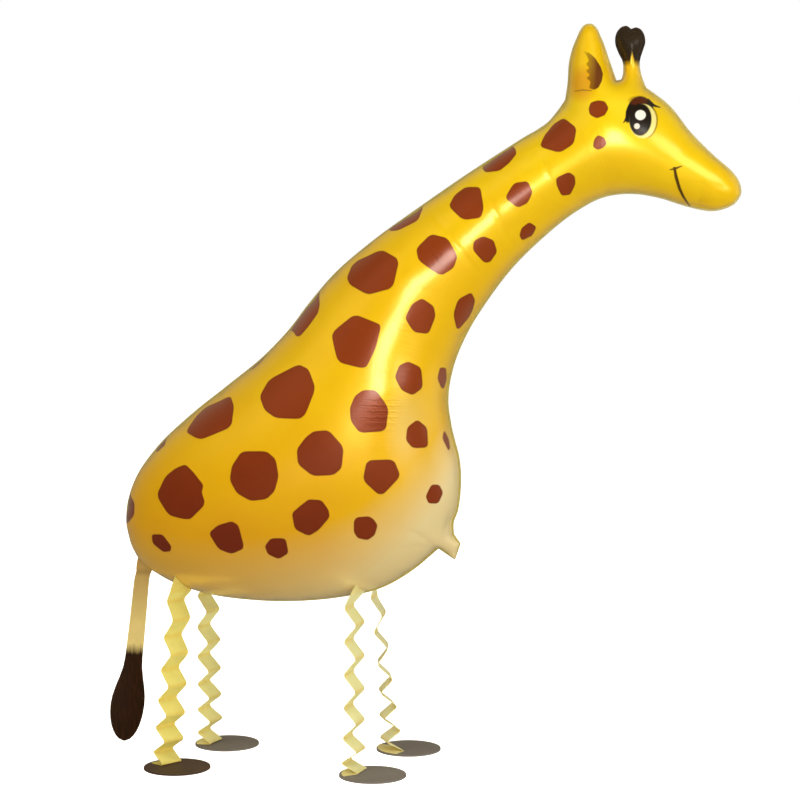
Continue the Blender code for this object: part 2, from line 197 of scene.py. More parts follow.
# Small colours of the print, as shares of light; the crease brown is painted shade.
SHINE_GREY = (0.16, 0.13, 0.14)
GLINT_WHITE = (0.94, 0.92, 0.84)
LOW_GLINT_WHITE = (0.8, 0.74, 0.66)
CREASE_SHADE_BROWN = (0.35, 0.16, 0.01)
KNOB_BROWN = (0.05, 0.03, 0.014)

# Lines of the face: pixels along each, with the line's width there.
LASHES = (((648.0, 100.5, 4.0), (653.5, 105.5, 3.2), (660.0, 107.5, 1.2)),
          ((629.0, 112.0, 6.5), (628.0, 117.0, 4.5), (623.6, 123.0, 0.8)))
SMILE = ((674.5, 168.0, 2.6), (676.2, 177.0, 3.6), (679.4, 188.0, 3.4), (683.6, 197.0, 2.8),
         (689.4, 205.5, 1.6))
SMILE_TICK = ((670.0, 169.8, 1.0), (675.5, 168.6, 2.6), (682.0, 166.0, 1.0))
# Painted shade: a dark line in the crease at the ear's root.
EAR_CREASE_SHADE = ((575.0, 91.5, 0.8), (583.0, 90.3, 1.4), (592.0, 91.0, 0.8))
# The ear: outline of its dark inside, the columns and the row where that darkens, and the shade.
EAR_INNER = ((583.5, 51.0), (590.0, 53.5), (596.5, 59.0), (601.0, 66.5), (603.2, 74.0),
             (602.0, 81.5), (599.0, 88.0), (594.5, 90.5), (589.5, 88.5), (591.0, 82.0),
             (586.5, 78.5), (591.0, 75.5), (585.5, 71.0), (590.0, 69.0), (586.0, 63.5),
             (589.5, 61.5), (587.0, 55.5))
EAR_FADE = (585.0, 597.0)
EAR_ROW = 75.0
EAR_SHADE = (583.0, 84.0, 12.0, 15.0, 12.0)
# The horn's knob: rows of its lower edge, and the notch in it, its tip and half width in pixels.
KNOB_EDGE = (60.0, 67.0)
KNOB_NOTCH = (632.2, 50.0, 2.8)
# The knob's print stays on the horn: it starts this far before the notch, in metres.
HORN_START = (0.024, 0.022)

# Puckers along the seam: their width in metres, and their share of the full depth.
PUCKERS = ((0.012, 0.3), (0.026, 0.8), (0.055, 1.2))
# How far they stand from even places, in widths, and how weak or strong each can be.
PUCKER_SHIFT = 0.32
PUCKER_STRENGTHS = (0.3, 1.0)
# How far they run in from the seam, in widths.
PUCKER_REACH = 0.9
# Puckers and creases start this far in from the seam, in metres.
PUCKER_START = 0.002
CREASE_START = 0.006
# Waves of the seam's free edge: length in metres, and share of the full wave. The middle of
# the seam's width waves by a share of that.
SEAM_WAVES = ((0.034, 0.6), (0.0137, 0.4))
SEAM_MIDDLE_WAVE = 0.45
TURNS = 500

# Creases of the foil: pixels along each, then its depth and half width in metres.
CREASES = (
    (((428, 207), (437, 219), (447, 231), (456, 245), (463, 253), (473, 266), (484, 278)),
     0.0012, 0.0034),
    (((487, 196), (493, 206), (499, 220), (505, 233), (513, 245)), 0.0011, 0.0032),
    (((537, 151), (545, 165), (551, 180)), 0.0009, 0.0030),
    (((396, 268), (404, 282), (416, 288), (438, 294)), 0.0005, 0.0040),
    (((437, 546), (420, 535), (402, 528)), 0.0016, 0.0035),
    (((437, 546), (418, 546), (398, 550)), 0.0012, 0.0035),
    (((440, 544), (436, 526), (437, 510)), 0.0013, 0.0035),
    (((444, 543), (449, 524), (452, 508)), 0.0012, 0.0030),
)
# Broad swellings of the skin: centre and reach in pixels, and height in metres.
SWELLS = ((399, 394, 34, 0.005), (393, 272, 34, 0.005), (610, 112, 26, 0.002))
# The line that the main highlight follows down the neck, in pixels.
RIDGE = ((612, 146), (575, 152), (545, 175), (510, 205), (485, 225), (450, 255), (425, 278),
         (405, 300), (392, 330), (383, 370), (380, 410), (379, 450))
# Coarse ripples across that line: centre and reach in pixels, and strength.
RIPPLES = ((436, 262, 13, 1.0), (383, 412, 15, 0.9), (388, 375, 22, 0.35), (398, 330, 22, 0.3),
           (520, 196, 12, 0.6), (468, 240, 16, 0.3))
# The ripples' fine and broad wavelength, and their wobble: its size, and its reach in radians.
FINE_RIPPLE = 0.0034
BROAD_RIPPLE = 0.0071
WOBBLE = 0.006
WOBBLE_REACH = 5.0
# Crinkles along the line: their width, and the distances from it over which they fade out.
CRINKLE = 0.0014
CRINKLE_FADE = (0.075, 0.02)
# Size of the film's own unevenness, and heights of all three kinds of relief.
FILM = 0.012
RIPPLE_HEIGHT = 0.00022
CRINKLE_HEIGHT = 0.0003
FILM_HEIGHT = 0.00012

# Points of a thin node closer than this are one, and flat enough pairs of triangles are quads.
WELD_DISTANCE = 1e-5
QUAD_BEND = math.radians(20)
QUAD_SKEW = math.radians(40)
# An edge of a finished piece that turns more than this is shaded sharp.
SHARP_ANGLE = math.radians(50)

# Paper: the turn that makes an edge a fold, the steps of its rounding, the mesh cell and the
# size of the panels' unevenness.
FOLD_ANGLE = math.radians(25)
FOLD_SEGMENTS = 4
PAPER_CELL = 0.0045
PAPER_WAVE = 0.012
# A face with more area to its outline than this, in metres, is one of a strip's broad sides.
BROAD_FACE = 0.0008
# The paper is held flat over the glued ends: the top tab's length, and the run to free paper.
TOP_TAB = 0.02
HELD_RUN = 0.006
# What lies lower than this over the paper's lowest point is its glued end.
GLUED_DEPTH = 0.0003
# The fanned end stops this far short of its foot's rim. The near rear leg's isn't fanned.
RIM_GAP = 0.001
PLAIN_END = "leg_rear_right"
# Size of the paper's soft clouds, and the heights of its fibres and clouds.
PAPER_CLOUD = 0.016
FIBRE_HEIGHT = 0.00008
CLOUD_HEIGHT = 0.0003

# Card: size and height of its grain. Its mottling is so many times coarser.
CARD_GRAIN = 0.0008
CARD_HEIGHT = 0.0003
MOTTLING = 30

# Tail: mesh cell, length held straight at the top, and half turns of its curl.
TAIL_CELL = 0.0035
TAIL_HELD = 0.035
TAIL_TURNS = 1.6
# Its cup across, per metre, and how fast the cup grows to that on the way down.
TAIL_CUP = 9.0
CUP_GROWTH = 1.6
# The kink's sideways push and half height, and the half height of a row across the tail.
KINK_PUSH = 0.0012
KINK_REACH = 0.004
ROW_REACH = 0.004
# Size of the tuft's hairs and of the foil's clouds, and their heights.
HAIR = 0.0022
TAIL_CLOUD = 0.02
HAIR_HEIGHT = 0.0001
TAIL_CLOUD_HEIGHT = 0.0006


def colour(name, red, green, blue, text):
    """A colour property, its default given in 0-255 display values."""
    shares = [channel / 255 for channel in (red, green, blue)]
    linear = [c / 12.92 if c < 0.04045 else ((c + 0.055) / 1.055) ** 2.4 for c in shares]
    return FloatVectorProperty(name=name, description=text, subtype="COLOR", size=3,
                               min=0.0, max=1.0, default=linear)


def length(name, metres, text):
    """A length property in metres."""
    return FloatProperty(name=name, description=text, default=metres, min=0.0,
                         unit="LENGTH", precision=4)


def angle(name, degrees, text):
    """An angle property, its default given in degrees."""
    return FloatProperty(name=name, description=text, default=math.radians(degrees),
                         subtype="ANGLE")


def power(name, watts, lamp):
    """The power property of a lamp, in watts."""
    return FloatProperty(name=name, description=f"Power of the {lamp}", default=watts,
                         unit="POWER")


def share(name, value, text):
    """A plain number property from 0 upwards."""
    return FloatProperty(name=name, description=text, default=value, min=0.0)


class BalloonEnvelope(bpy.types.PropertyGroup):
    """Sizes and colours of the printed foil envelope."""

    spacing: length("Mesh spacing", 0.0027, "Distance between the mesh points of a skin")
    seam_spacing: length("Seam spacing", 0.0019, "Distance between mesh points on the seam")
    seam_width: length("Seam width", 0.0022, "Width of the flat welded seam")
    ring_depth: length("Ring depth", 0.012, "How far the rings of mesh run in from the seam")
    ring_count: IntProperty(name="Rings", description="Rings of mesh inside the seam",
                            default=15, min=4, max=40)
    flattening: share("Flattening", 4.0, "How much the middle is flattened, per metre")
    pucker: share("Pucker", 0.028, "Depth of a pucker as a share of its width")
    flap_wave: length("Seam wave", 0.0001, "How far the seam's free edge waves sideways")
    yellow: colour("Yellow", 248, 200, 0, "Print colour of the coat")
    lemon: colour("Lemon yellow", 255, 218, 0, "Print colour of the head")
    # Deeper yellow: painted shade on the lower parts, and also the crown and the soft patches.
    deep_yellow_and_shade: colour("Deep yellow", 236, 172, 0, "Yellow of the lower parts")
    cream: colour("Cream", 244, 224, 168, "Belly colour at the chest")
    # The belly's tan towards the rear is painted shade over its cream.
    tan: colour("Tan", 224, 184, 84, "Belly colour at the rear")
    brown: colour("Brown", 146, 58, 8, "Colour of the spots")
    # Dark brown: painted shade on the lower spots, and the darker edges of all spots.
    dark_brown_and_shade: colour("Dark brown", 120, 36, 4, "Colour of the lower spots")
    black: colour("Black", 26, 16, 6, "Pupil, lid and horn knob")
    maroon: colour("Maroon", 104, 40, 6, "Glow in the eye's lid")
    ear_brown: colour("Ear brown", 112, 58, 8, "Inside of the ear")
    ear_orange: colour("Ear orange", 226, 140, 10, "Shade at the root of the ear")
    eye_white: colour("Eye white", 250, 238, 150, "Cream white of the eye")
    line: colour("Line", 92, 58, 4, "Mouth and lash lines")
    # The bare welded edge, printed a darker olive that is partly painted shade along the rim.
    seam_colour_and_edge_shade: colour("Seam", 178, 164, 92, "Colour of the bare welded edge")


class BalloonPaper(bpy.types.PropertyGroup):
    """Sizes and colours of the folded paper legs."""

    front: colour("Front leg", 238, 233, 170, "Paper of the near front leg")
    # Painted light: the far front leg's paper is paler to offset the shade it stands in.
    front_far_painted_light: colour("Far front leg", 254, 248, 190, "Paler paper of the far front leg")
    rear: colour("Rear leg", 230, 216, 122, "Paper of the near rear leg")
    # Painted light: the far rear leg's paper is paler to offset the shade it stands in.
    rear_far_painted_light: colour("Far rear leg", 255, 247, 170, "Paler paper of the far rear leg")
    # Painted shade: the deeper tint along the paper's folds.
    fold: colour("Folds", 226, 184, 70, "Tint of the paper along its folds")
    fold_round: length("Fold rounding", 0.0042, "How far a fold is rounded on each side")
    thickness: length("Thickness", 0.0006, "Thickness of the paper")
    curl: length("Curl", 0.0005, "How far the panels wander from flat")
    tab_spread: angle("Glued end", 46.0, "Half of the arc of a foot's edge that the paper reaches")
    fibre: length("Fibre size", 0.0012, "Size of the paper's fibres")


class BalloonFeet(bpy.types.PropertyGroup):
    """Colours of the card feet."""

    card: colour("Card", 122, 116, 112, "Grey card of the foot discs")
    brown_card: colour("Brown card", 70, 52, 42, "Browner card of the near rear disc")


class BalloonTail(bpy.types.PropertyGroup):
    """Sizes and colours of the foil tail."""

    # The darker strap next to the body is painted shade from the body above it.
    top: colour("Top", 194, 152, 78, "Strap colour next to the body")
    strap: colour("Strap", 250, 226, 146, "Strap colour above the tuft")
    tuft: colour("Tuft", 44, 22, 4, "Colour of the tuft")
    rust: colour("Rust", 86, 38, 8, "Lighter streaks in the tuft")
    sway: length("Sway", 0.0035, "How far the tail curls out of its plane")
    tuft_top: length("Tuft top", 0.129, "Height where the strap turns into the tuft")
    kink: length("Kink", 0.226, "Height of the crease in the strap")


class BalloonStage(bpy.types.PropertyGroup):
    """The camera, floor and lights."""

    azimuth: angle("Azimuth", 9.0, "How far the camera stands round towards the head")
    elevation: angle("Elevation", 4.5, "How far the camera looks down")
    distance: length("Distance", 2.6, "From the camera to the point that it looks at")
    lens: FloatProperty(name="Lens", description="Focal length in millimetres", default=97.5)
    aim_x: length("Aim along", -0.0199, "Place of the aim along the giraffe")
    aim_z: length("Aim height", 0.442, "Height of the aim over the floor")
    key_power: power("Key light", 3.6, "main softbox")
    brow_power: power("Muzzle light", 9.2, "softbox at the right")
    side_power: power("Side light", 39.0, "low light at the right")
    edge_power: power("Edge light", 4.0, "light at the far right")
    low_power: power("Low light", 35.0, "low light in front")
    back_power: power("Back light", 20.0, "light behind")
    fill_power: power("Fill light", 42.0, "broad light at the left")
    top_power: power("Top light", 38.0, "broad light above")
    world_front: share("Room", 0.09, "Strength of the light from the room in front")
    world_behind: share("Backdrop", 0.27, "Strength of the light from the backdrop")
    floor_glow: share("Floor glow", 1.0, "How much the floor is lit up white")
    floor: colour("Floor", 228, 224, 216, "Colour of the plain floor")


class Shade:
    """A socket of a node tree: arithmetic on it adds Math nodes."""

    def __init__(self, nodes, socket):
        self.nodes = nodes
        self.socket = socket

    def math(self, operation, *values, clamp=False):
        """A Math node on these values."""
        return self.nodes.node("ShaderNodeMath", {"operation": operation, "use_clamp": clamp},
                               dict(enumerate(values)))

    def __add__(self, other):
        return self.math("ADD", self, other)

    __radd__ = __add__

    def __sub__(self, other):
        return self.math("SUBTRACT", self, other)

    def __rsub__(self, other):
        return self.math("SUBTRACT", other, self)

    def __mul__(self, other):
        return self.math("MULTIPLY", self, other)

    __rmul__ = __mul__

    def __truediv__(self, other):
        return self.math("DIVIDE", self, other)

    def __rtruediv__(self, other):
        return self.math("DIVIDE", other, self)

    def __abs__(self):
        return self.math("ABSOLUTE", self)

    def root(self):
        return self.math("SQRT", self)

    def sine(self):
        return self.math("SINE", self)

    def most(self, other):
        return self.math("MAXIMUM", self, other)

    def clamp(self):
        return self.math("ADD", self, 0.0, clamp=True)

    def ramp(self, low, high):
        """0 up to low, 1 from high on, straight between them."""
        return self.math("MULTIPLY_ADD", self, 1 / (high - low), -low / (high - low),
                         clamp=True)


class Nodes:
    """A node tree, with short ways to add nodes to it."""

    def __init__(self, tree):
        self.tree = tree

    def node(self, kind, settings=None, inputs=None, output=0):
        """A new node: its settings first, then values or links for its sockets."""
        node = self.tree.nodes.new(kind)
        for name, value in (settings or {}).items():
            setattr(node, name, value)
        for name, value in (inputs or {}).items():
            self.feed(node.inputs[name], value)
        return Shade(self, node.outputs[output])

    def feed(self, socket, value):
        """A link, a colour or a plain value for a socket."""
        if isinstance(value, Shade):
            self.tree.links.new(value.socket, socket)
        elif socket.type == "RGBA":
            socket.default_value = (*value, 1.0)
        else:
            socket.default_value = value

    def mix(self, factor, first, second):
        """Colour from first, where factor is 0, to second, where it is 1."""
        return self.node("ShaderNodeMix", {"data_type": "RGBA"},
                         {0: factor, 6: first, 7: second}, output=2)


class Finish(Nodes):
    """One material and its nodes, ending in a Principled shader."""

    def __init__(self, name):
        self.material = bpy.data.materials.new(name)
        self.material.use_nodes = True
        super().__init__(self.material.node_tree)
        self.shader = self.tree.nodes["Principled BSDF"]

    def set(self, values):
        """Values or links for the Principled shader's own sockets."""
        for name, value in values.items():
            self.feed(self.shader.inputs[name], value)

    def place(self):
        """The point on the surface, and its x and z in metres."""
        point = self.node("ShaderNodeTexCoord", output="Object")
        x, z = (self.node("ShaderNodeSeparateXYZ", None, {0: point}, output=axis)
                for axis in "XZ")
        return point, x, z

    def attribute(self, name):
        """A value stored on the mesh's points."""
        return self.node("ShaderNodeAttribute", {"attribute_name": name}, output="Fac")

    def noise(self, point, size, detail=2.0, stretch=(1.0, 1.0, 1.0)):
        """Noise from 0 to 1 with features of that size in metres."""
        scaled = self.node("ShaderNodeVectorMath", {"operation": "MULTIPLY"},
                           {0: point, 1: [s / size for s in stretch]})
        return self.node("ShaderNodeTexNoise", None,
                         {"Vector": scaled, "Scale": 1.0, "Detail": detail}, output="Fac")

    def bump(self, height, strength=1.0, distance=1.0):
        """A normal for the shader from a height, in metres where both others are 1."""
        return self.node("ShaderNodeBump", None,
                         {"Height": height, "Strength": strength, "Distance": distance})


def triangle_corners(node):
    """The triangles of a frame node: an array of triangles x corners x (x, y, z)."""
    mesh = node.data
    places = np.empty(len(mesh.vertices) * 3, np.float32)
    mesh.vertices.foreach_get("co", places)
    mesh.calc_loop_triangles()
    corners = np.empty(len(mesh.loop_triangles) * 3, np.int32)
    mesh.loop_triangles.foreach_get("vertices", corners)
    return places.reshape(-1, 3).astype(float)[corners.reshape(-1, 3)]


def direction(azimuth, elevation):
    """Unit vector towards a viewer at those angles, azimuth 0 in front of the near side."""
    return np.array((math.sin(azimuth) * math.cos(elevation),
                     -math.cos(azimuth) * math.cos(elevation), math.sin(elevation)))


class PhotoCamera:
    """Where a pixel of the photograph lies on the frame's envelope."""

    def __init__(self, stage, triangles):
        self.back = direction(stage.azimuth, stage.elevation)
        self.right = np.array((math.cos(stage.azimuth), math.sin(stage.azimuth), 0.0))
        self.up = np.cross(self.back, self.right)
        self.place = np.array((stage.aim_x, 0.0, stage.aim_z)) + self.back * stage.distance
        self.focal = stage.lens / SENSOR_WIDTH * PHOTO_SIDE
        points = [tuple(p) for p in triangles.reshape(-1, 3)]
        faces = [(k, k + 1, k + 2) for k in range(0, len(points), 3)]
        self.tree = BVHTree.FromPolygons(points, faces)
        # Metres to a pixel, measured over some pixels at the middle of the picture.
        middle, some = PHOTO_SIDE / 2, 10
        self.pixel = float(self.ellipse(middle, middle, some, some)[1]) / some

    def on_skin(self, pixel):
        """The (x, z) under a pixel, on the skin or, beyond it, on the middle plane."""
        across = (pixel[0] - PHOTO_SIDE / 2) / self.focal
        down = (pixel[1] - PHOTO_SIDE / 2) / self.focal
        ray = self.right * across - self.up * down - self.back
        hit = self.tree.ray_cast(Vector(self.place), Vector(ray))[0]
        if hit is not None:
            return np.array((hit.x, hit.z))
        point = self.place - ray * self.place[1] / ray[1]
        return point[[0, 2]]

    def line(self, corners):
        """The places on the skin of a line or polygon of pixels."""
        return np.array([self.on_skin(corner) for corner in corners])

    def ellipse(self, x, y, wide, high):
        """Centre and half axes on the skin, in metres, of an ellipse given in pixels."""
        half_x = (self.on_skin((x + wide, y)) - self.on_skin((x - wide, y)))[0] / 2
        half_z = (self.on_skin((x, y - high)) - self.on_skin((x, y + high)))[1] / 2
        return self.on_skin((x, y)).tolist(), half_x, half_z

    def half_depth(self, x, z):
        """How far the near side stands out from the middle plane there, 0 beyond the outline."""
        hit = self.tree.ray_cast(Vector((x, -1.0, z)), Vector((0.0, 1.0, 0.0)))[0]
        return 0.0 if hit is None else -hit.y


def rim_outline(triangles):
    """The envelope's flat outline as a counter-clockwise loop of (x, z), and its half thickness."""
    sides = np.abs(triangles[:, :, 1])
    half = sides.min()
    normal = np.cross(triangles[:, 1] - triangles[:, 0], triangles[:, 2] - triangles[:, 0])
    normal /= np.linalg.norm(normal, axis=1)[:, None]
    beside_plane = sides.max(axis=1) < 1.1 * half
    upright = np.abs(normal[:, 1]) < 0.2
    following = {}
    for corners in triangles[beside_plane & upright].round(5):
        for start, end in zip(corners, np.roll(corners, -1, axis=0)):
            if start[1] < 0 and end[1] < 0:
                following[tuple(start)] = tuple(end)
    first = next(iter(following))
    loop, point = [first], following[first]
    while point != first:
        loop.append(point)
        point = following[point]
    return np.array(loop)[::-1, [0, 2]], half


def smooth_outline(points, spacing):
    """A smooth loop through the points, sharp only at real corners, evenly spaced."""
    end = np.roll(points, -1, axis=0)
    step = end - points
    size = np.linalg.norm(step, axis=1)
    ahead = step / size[:, None]
    behind = np.roll(ahead, 1, axis=0)
    heading = np.arctan2(ahead[:, 1], ahead[:, 0])
    turn = np.degrees((heading - np.roll(heading, 1) + math.pi) % (2 * math.pi) - math.pi)
    corner = ((turn > CONVEX_CORNER) | (turn < -CONCAVE_CORNER))[:, None]
    size_behind = np.roll(size, 1)[:, None]
    tangent = behind * size[:, None] + ahead * size_behind
    tangent /= size[:, None] + size_behind
    leaving = np.where(corner, ahead, tangent) * size[:, None]
    arriving = np.roll(np.where(corner, behind, tangent), -1, axis=0) * size[:, None]
    fine = []
    for t in np.arange(CURVE_STEPS) / CURVE_STEPS:
        fine.append((2 * t ** 3 - 3 * t ** 2 + 1) * points + (t ** 3 - 2 * t ** 2 + t) * leaving
                    + (3 * t ** 2 - 2 * t ** 3) * end + (t ** 3 - t ** 2) * arriving)
    fine = closed(np.stack(fine, axis=1).reshape(-1, 2))
    run = running_length(fine)
    count = round(run[-1] / spacing)
    where = np.arange(count) * run[-1] / count
    return np.stack([np.interp(where, run, fine[:, k]) for k in range(2)], axis=1)


def closed(loop):
    """The loop with its first point once more at its end."""
    return np.vstack([loop, loop[:1]])


def running_length(line):
    """The length along a line of corners, at each of them."""
    return np.concatenate([[0], np.cumsum(np.linalg.norm(np.diff(line, axis=0), axis=1))])


def inward_normals(loop, reach):
    """Unit normals of a counter-clockwise loop, pointing in."""
    along = np.roll(loop, -reach, axis=0) - np.roll(loop, reach, axis=0)
    normal = np.stack([-along[:, 1], along[:, 0]], axis=1)
    return normal / np.linalg.norm(normal, axis=1)[:, None]


def inscribed_radius(loop, inward):
    """At each point, the radius of the largest circle inside the loop that touches it there."""
    gap = loop[None, :] - loop[:, None]
    reach = (gap ** 2).sum(axis=2)
    depth = np.einsum("ijk,ik->ij", gap, inward)
    radius = np.where(depth > 1e-7, reach / np.maximum(2 * depth, 1e-9), 1.0).min(axis=1)
    neighbours = range(-ROOM_REACH, ROOM_REACH + 1)
    lowest = np.min([np.roll(radius, k) for k in neighbours], axis=0)
    return sum(np.roll(lowest, k) for k in neighbours) / len(neighbours)


def is_inside(points, loop):
    """Which points lie inside a closed loop."""
    inside = np.zeros(len(points), bool)
    x, z = points.T
    for (ax, az), (bx, bz) in zip(loop, np.roll(loop, -1, axis=0)):
        if az != bz:
            crosses = (az > z) != (bz > z)
            inside ^= crosses & (x < (bx - ax) * (z - az) / (bz - az) + ax)
    return inside


def nearest(points, targets):
    """For each point, the index of the nearest target and its distance."""
    tree = KDTree(len(targets))
    for k, (x, z) in enumerate(targets):
        tree.insert((x, z, 0.0), k)
    tree.balance()
    found = [tree.find((x, z, 0.0)) for x, z in points]
    return np.array([f[1] for f in found]), np.array([f[2] for f in found])


def honeycomb(loop, spacing):
    """Points in even triangles that fill a loop, a little clear of it."""
    low, high = loop.min(axis=0), loop.max(axis=0)
    rows = np.arange(low[1], high[1], spacing * math.sqrt(0.75))
    columns = np.arange(low[0], high[0], spacing)
    points = np.array([(x + spacing / 2 * (k % 2), z) for k, z in enumerate(rows)
                       for x in columns])
    points = points[is_inside(points, loop)]
    return points[nearest(points, loop)[1] > FILLING_GAP * spacing]


def strip(first, second):
    """Triangles between two closed rings of point numbers, the second inside the first."""
    first_next, second_next = np.roll(first, -1), np.roll(second, -1)
    return np.vstack([np.stack([first, first_next, second_next], axis=1),
                      np.stack([first, second_next, second], axis=1)])


def pattern_mesh(settings, outline):
    """The flat pattern: its points, triangles and rings of points, inwards from the outline.

    The first ring is the outline, the third is the seam's inner edge.
    """
    inward = inward_normals(outline, 2)
    room = inscribed_radius(outline, inward)
    seam = outline + inward * np.minimum(settings.seam_width, SEAM_SHARE * room)[:, None]
    inward = inward_normals(seam, 3)
    room = inscribed_radius(seam, inward)
    depth = np.minimum(settings.ring_depth, RING_SHARE * room)[:, None]
    count = settings.ring_count
    rings = [outline, outline + (seam - outline) / 2]
    rings += [seam + inward * depth * (k / count) ** 2 for k in range(count + 1)]
    filling = honeycomb(rings[-1], settings.spacing)
    total = len(outline)
    numbers = [np.arange(k * total, (k + 1) * total) for k in range(len(rings))]
    triangles = [strip(a, b) for a, b in zip(numbers, numbers[1:])]
    loose = [Vector(p) for p in np.vstack([rings[-1], filling])]
    edges = [(k, (k + 1) % total) for k in range(total)]
    made = delaunay_2d_cdt(loose, edges, [], 1, 1e-7)
    faces = np.array([face for face in made[2] if len(face) == 3])
    source = np.array([origin[0] for origin in made[3]])
    triangles.append(source[faces] + numbers[-1][0])
    return np.vstack([*rings, filling]), np.vstack(triangles), numbers


def pillow(points, triangles, held, guess, flattening, turns):
    """Solves for the squared half thickness of the inflated pattern, held at zero."""
    corner = points[triangles]
    rows, columns, values = [], [], []
    lumped = np.zeros(len(points))
    for k in range(3):
        to_a = corner[:, (k + 1) % 3] - corner[:, k]
        to_b = corner[:, (k + 2) % 3] - corner[:, k]
        area = np.abs(to_a[:, 0] * to_b[:, 1] - to_a[:, 1] * to_b[:, 0]) / 2
        weight = (to_a * to_b).sum(axis=1) / np.maximum(4 * area, 1e-14)
        a, b = triangles[:, (k + 1) % 3], triangles[:, (k + 2) % 3]
        rows += [a, b]
        columns += [b, a]
        values += [weight, weight]
        lumped += np.bincount(triangles[:, k], area / 3, len(points))
    rows, columns, values = (np.concatenate(part) for part in (rows, columns, values))
    diagonal = np.bincount(rows, values, len(points)) + flattening ** 2 * lumped
    free = ~held

    def apply(vector):
        pull = np.bincount(rows, values * vector[columns], len(points))
        return np.where(free, diagonal * vector - pull, 0.0)

    solution = np.where(free, guess, 0.0)
    rest = np.where(free, 2 * lumped, 0.0) - apply(solution)
    scaled = rest / diagonal
    step = scaled.copy()
    energy = rest @ scaled
    for _ in range(turns):
        change = apply(step)
        size = energy / (step @ change)
        solution += size * step
        rest -= size * change
        scaled = rest / diagonal
        energy, before = rest @ scaled, energy
        step = scaled + energy / before * step
    return np.maximum(solution, 0.0)


def cut_corners(starts, ends, part):
    """Two points on each side, that share of it in from its ends."""
    return np.stack([(1 - part) * starts + part * ends, part * starts + (1 - part) * ends],
                    axis=1).reshape(-1, 2)


def rounded(polygon):
    """The polygon with its corners cut back twice."""
    for _ in range(2):
        polygon = cut_corners(polygon, np.roll(polygon, -1, axis=0), SPOT_CUT)
    return polygon


def smooth_line(line):
    """The line with its corners cut back three times, its ends kept."""
    for _ in range(3):
        line = np.vstack([line[:1], cut_corners(line[:-1], line[1:], LINE_CUT), line[-1:]])
    return line


def line_distance(points, line):
    """Distance to a line of corners, and the share of its length where it is nearest."""
    size = np.linalg.norm(np.diff(line, axis=0), axis=1)
    run = running_length(line)
    best, share_there = np.full(len(points), 1e9), np.zeros(len(points))
    for k in range(len(size)):
        side = line[k + 1] - line[k]
        along = np.clip((points - line[k]) @ side / size[k] ** 2, 0, 1)
        gap = np.linalg.norm(points - line[k] - along[:, None] * side, axis=1)
        nearer = gap < best
        best[nearer] = gap[nearer]
        share_there[nearer] = ((run[k] + along * size[k]) / run[-1])[nearer]
    return best, share_there


def polygon_depth(points, polygon):
    """How deep each point lies inside a polygon: below zero outside."""
    gap = line_distance(points, closed(polygon))[0]
    return np.where(is_inside(points, polygon), gap, -gap)


def hump(points, camera, x, z, reach):
    """1 at a pixel of the photograph, falling off over that many pixels, at each point."""
    centre = camera.on_skin((x, z))
    size = np.linalg.norm(camera.on_skin((x + reach, z)) - centre)
    return np.exp(-(np.linalg.norm(points - centre, axis=1) / size) ** 2)


def rise(distance, reach):
    """0 at no distance, nearly 1 beyond twice the reach."""
    return 1 - np.exp(-(distance / reach) ** 2)


def valleys(run, total, width, chance):
    """Sharp valleys along a closed seam, 1 in a valley and 0 between them, at uneven places."""
    count = max(3, round(total / width))
    shift = chance.uniform(-PUCKER_SHIFT, PUCKER_SHIFT, count)
    edges = (np.arange(count) + shift) * total / count
    strength = chance.uniform(*PUCKER_STRENGTHS, count)
    edges = np.concatenate([edges[-1:] - total, edges, edges[:1] + total])
    strength = np.concatenate([strength[-1:], strength, strength[:1]])
    k = np.clip(np.searchsorted(edges, run) - 1, 0, len(edges) - 2)
    t = (run - edges[k]) / (edges[k + 1] - edges[k])
    here = strength[k] * (1 - t) + strength[k + 1] * t
    return here * (1 - np.abs(np.sin(math.pi * t))) ** 1.5


def pucker_dents(settings, run, total, climb):
    """How far the puckers sink the skin at each point, by its way up from the seam."""
    chance = np.random.default_rng(SEED)
    dent = np.zeros(len(run))
    for width, part in PUCKERS:
        fade = np.exp(-(climb / (PUCKER_REACH * width)) ** 2) * rise(climb, PUCKER_START)
        dent += settings.pucker * part * width * fade * valleys(run, total, width, chance)
    return dent


def crease_dents(points, camera):
    """How far the creases sink the skin at each point, less its broad swellings."""
    dent = np.zeros(len(points))
    for corners, depth, wide in CREASES:
        gap, along = line_distance(points, camera.line(corners))
        fade = np.sin(math.pi * np.clip(along, 0.04, 0.96)) ** 0.5
        dent = np.maximum(dent, depth * fade * np.exp(-gap / wide))
    for x, z, reach, height in SWELLS:
        dent -= height * hump(points, camera, x, z, reach)
    return dent


def point_normals(points, triangles):
    """Normals of a mesh's points, weighted by area."""
    corner = points[triangles]
    face = np.cross(corner[:, 1] - corner[:, 0], corner[:, 2] - corner[:, 0])
    normal = np.zeros_like(points)
    for k in range(3):
        for axis in range(3):
            normal[:, axis] += np.bincount(triangles[:, k], face[:, axis], len(points))
    return normal / np.maximum(np.linalg.norm(normal, axis=1), 1e-15)[:, None]


def along_seam(points, rings):
    """How far along the seam each point lies, the seam's length, and the distance to it."""
    seam = points[rings[2]]
    index, depth = nearest(points, seam)
    in_rings = np.arange(rings[-1][-1] + 1)
    index[in_rings] = in_rings % len(seam)
    run = running_length(closed(seam))
    return run[index], run[-1], depth


def seam_wave(settings, run, rings):
    """How far the seam's free edge waves sideways at each point."""
    wave = sum(np.sin(run * 2 * math.pi / size) * part for size, part in SEAM_WAVES)
    free = np.zeros(len(run))
    free[rings[0]] = 1.0
    free[rings[1]] = SEAM_MIDDLE_WAVE
    return settings.flap_wave * wave * free


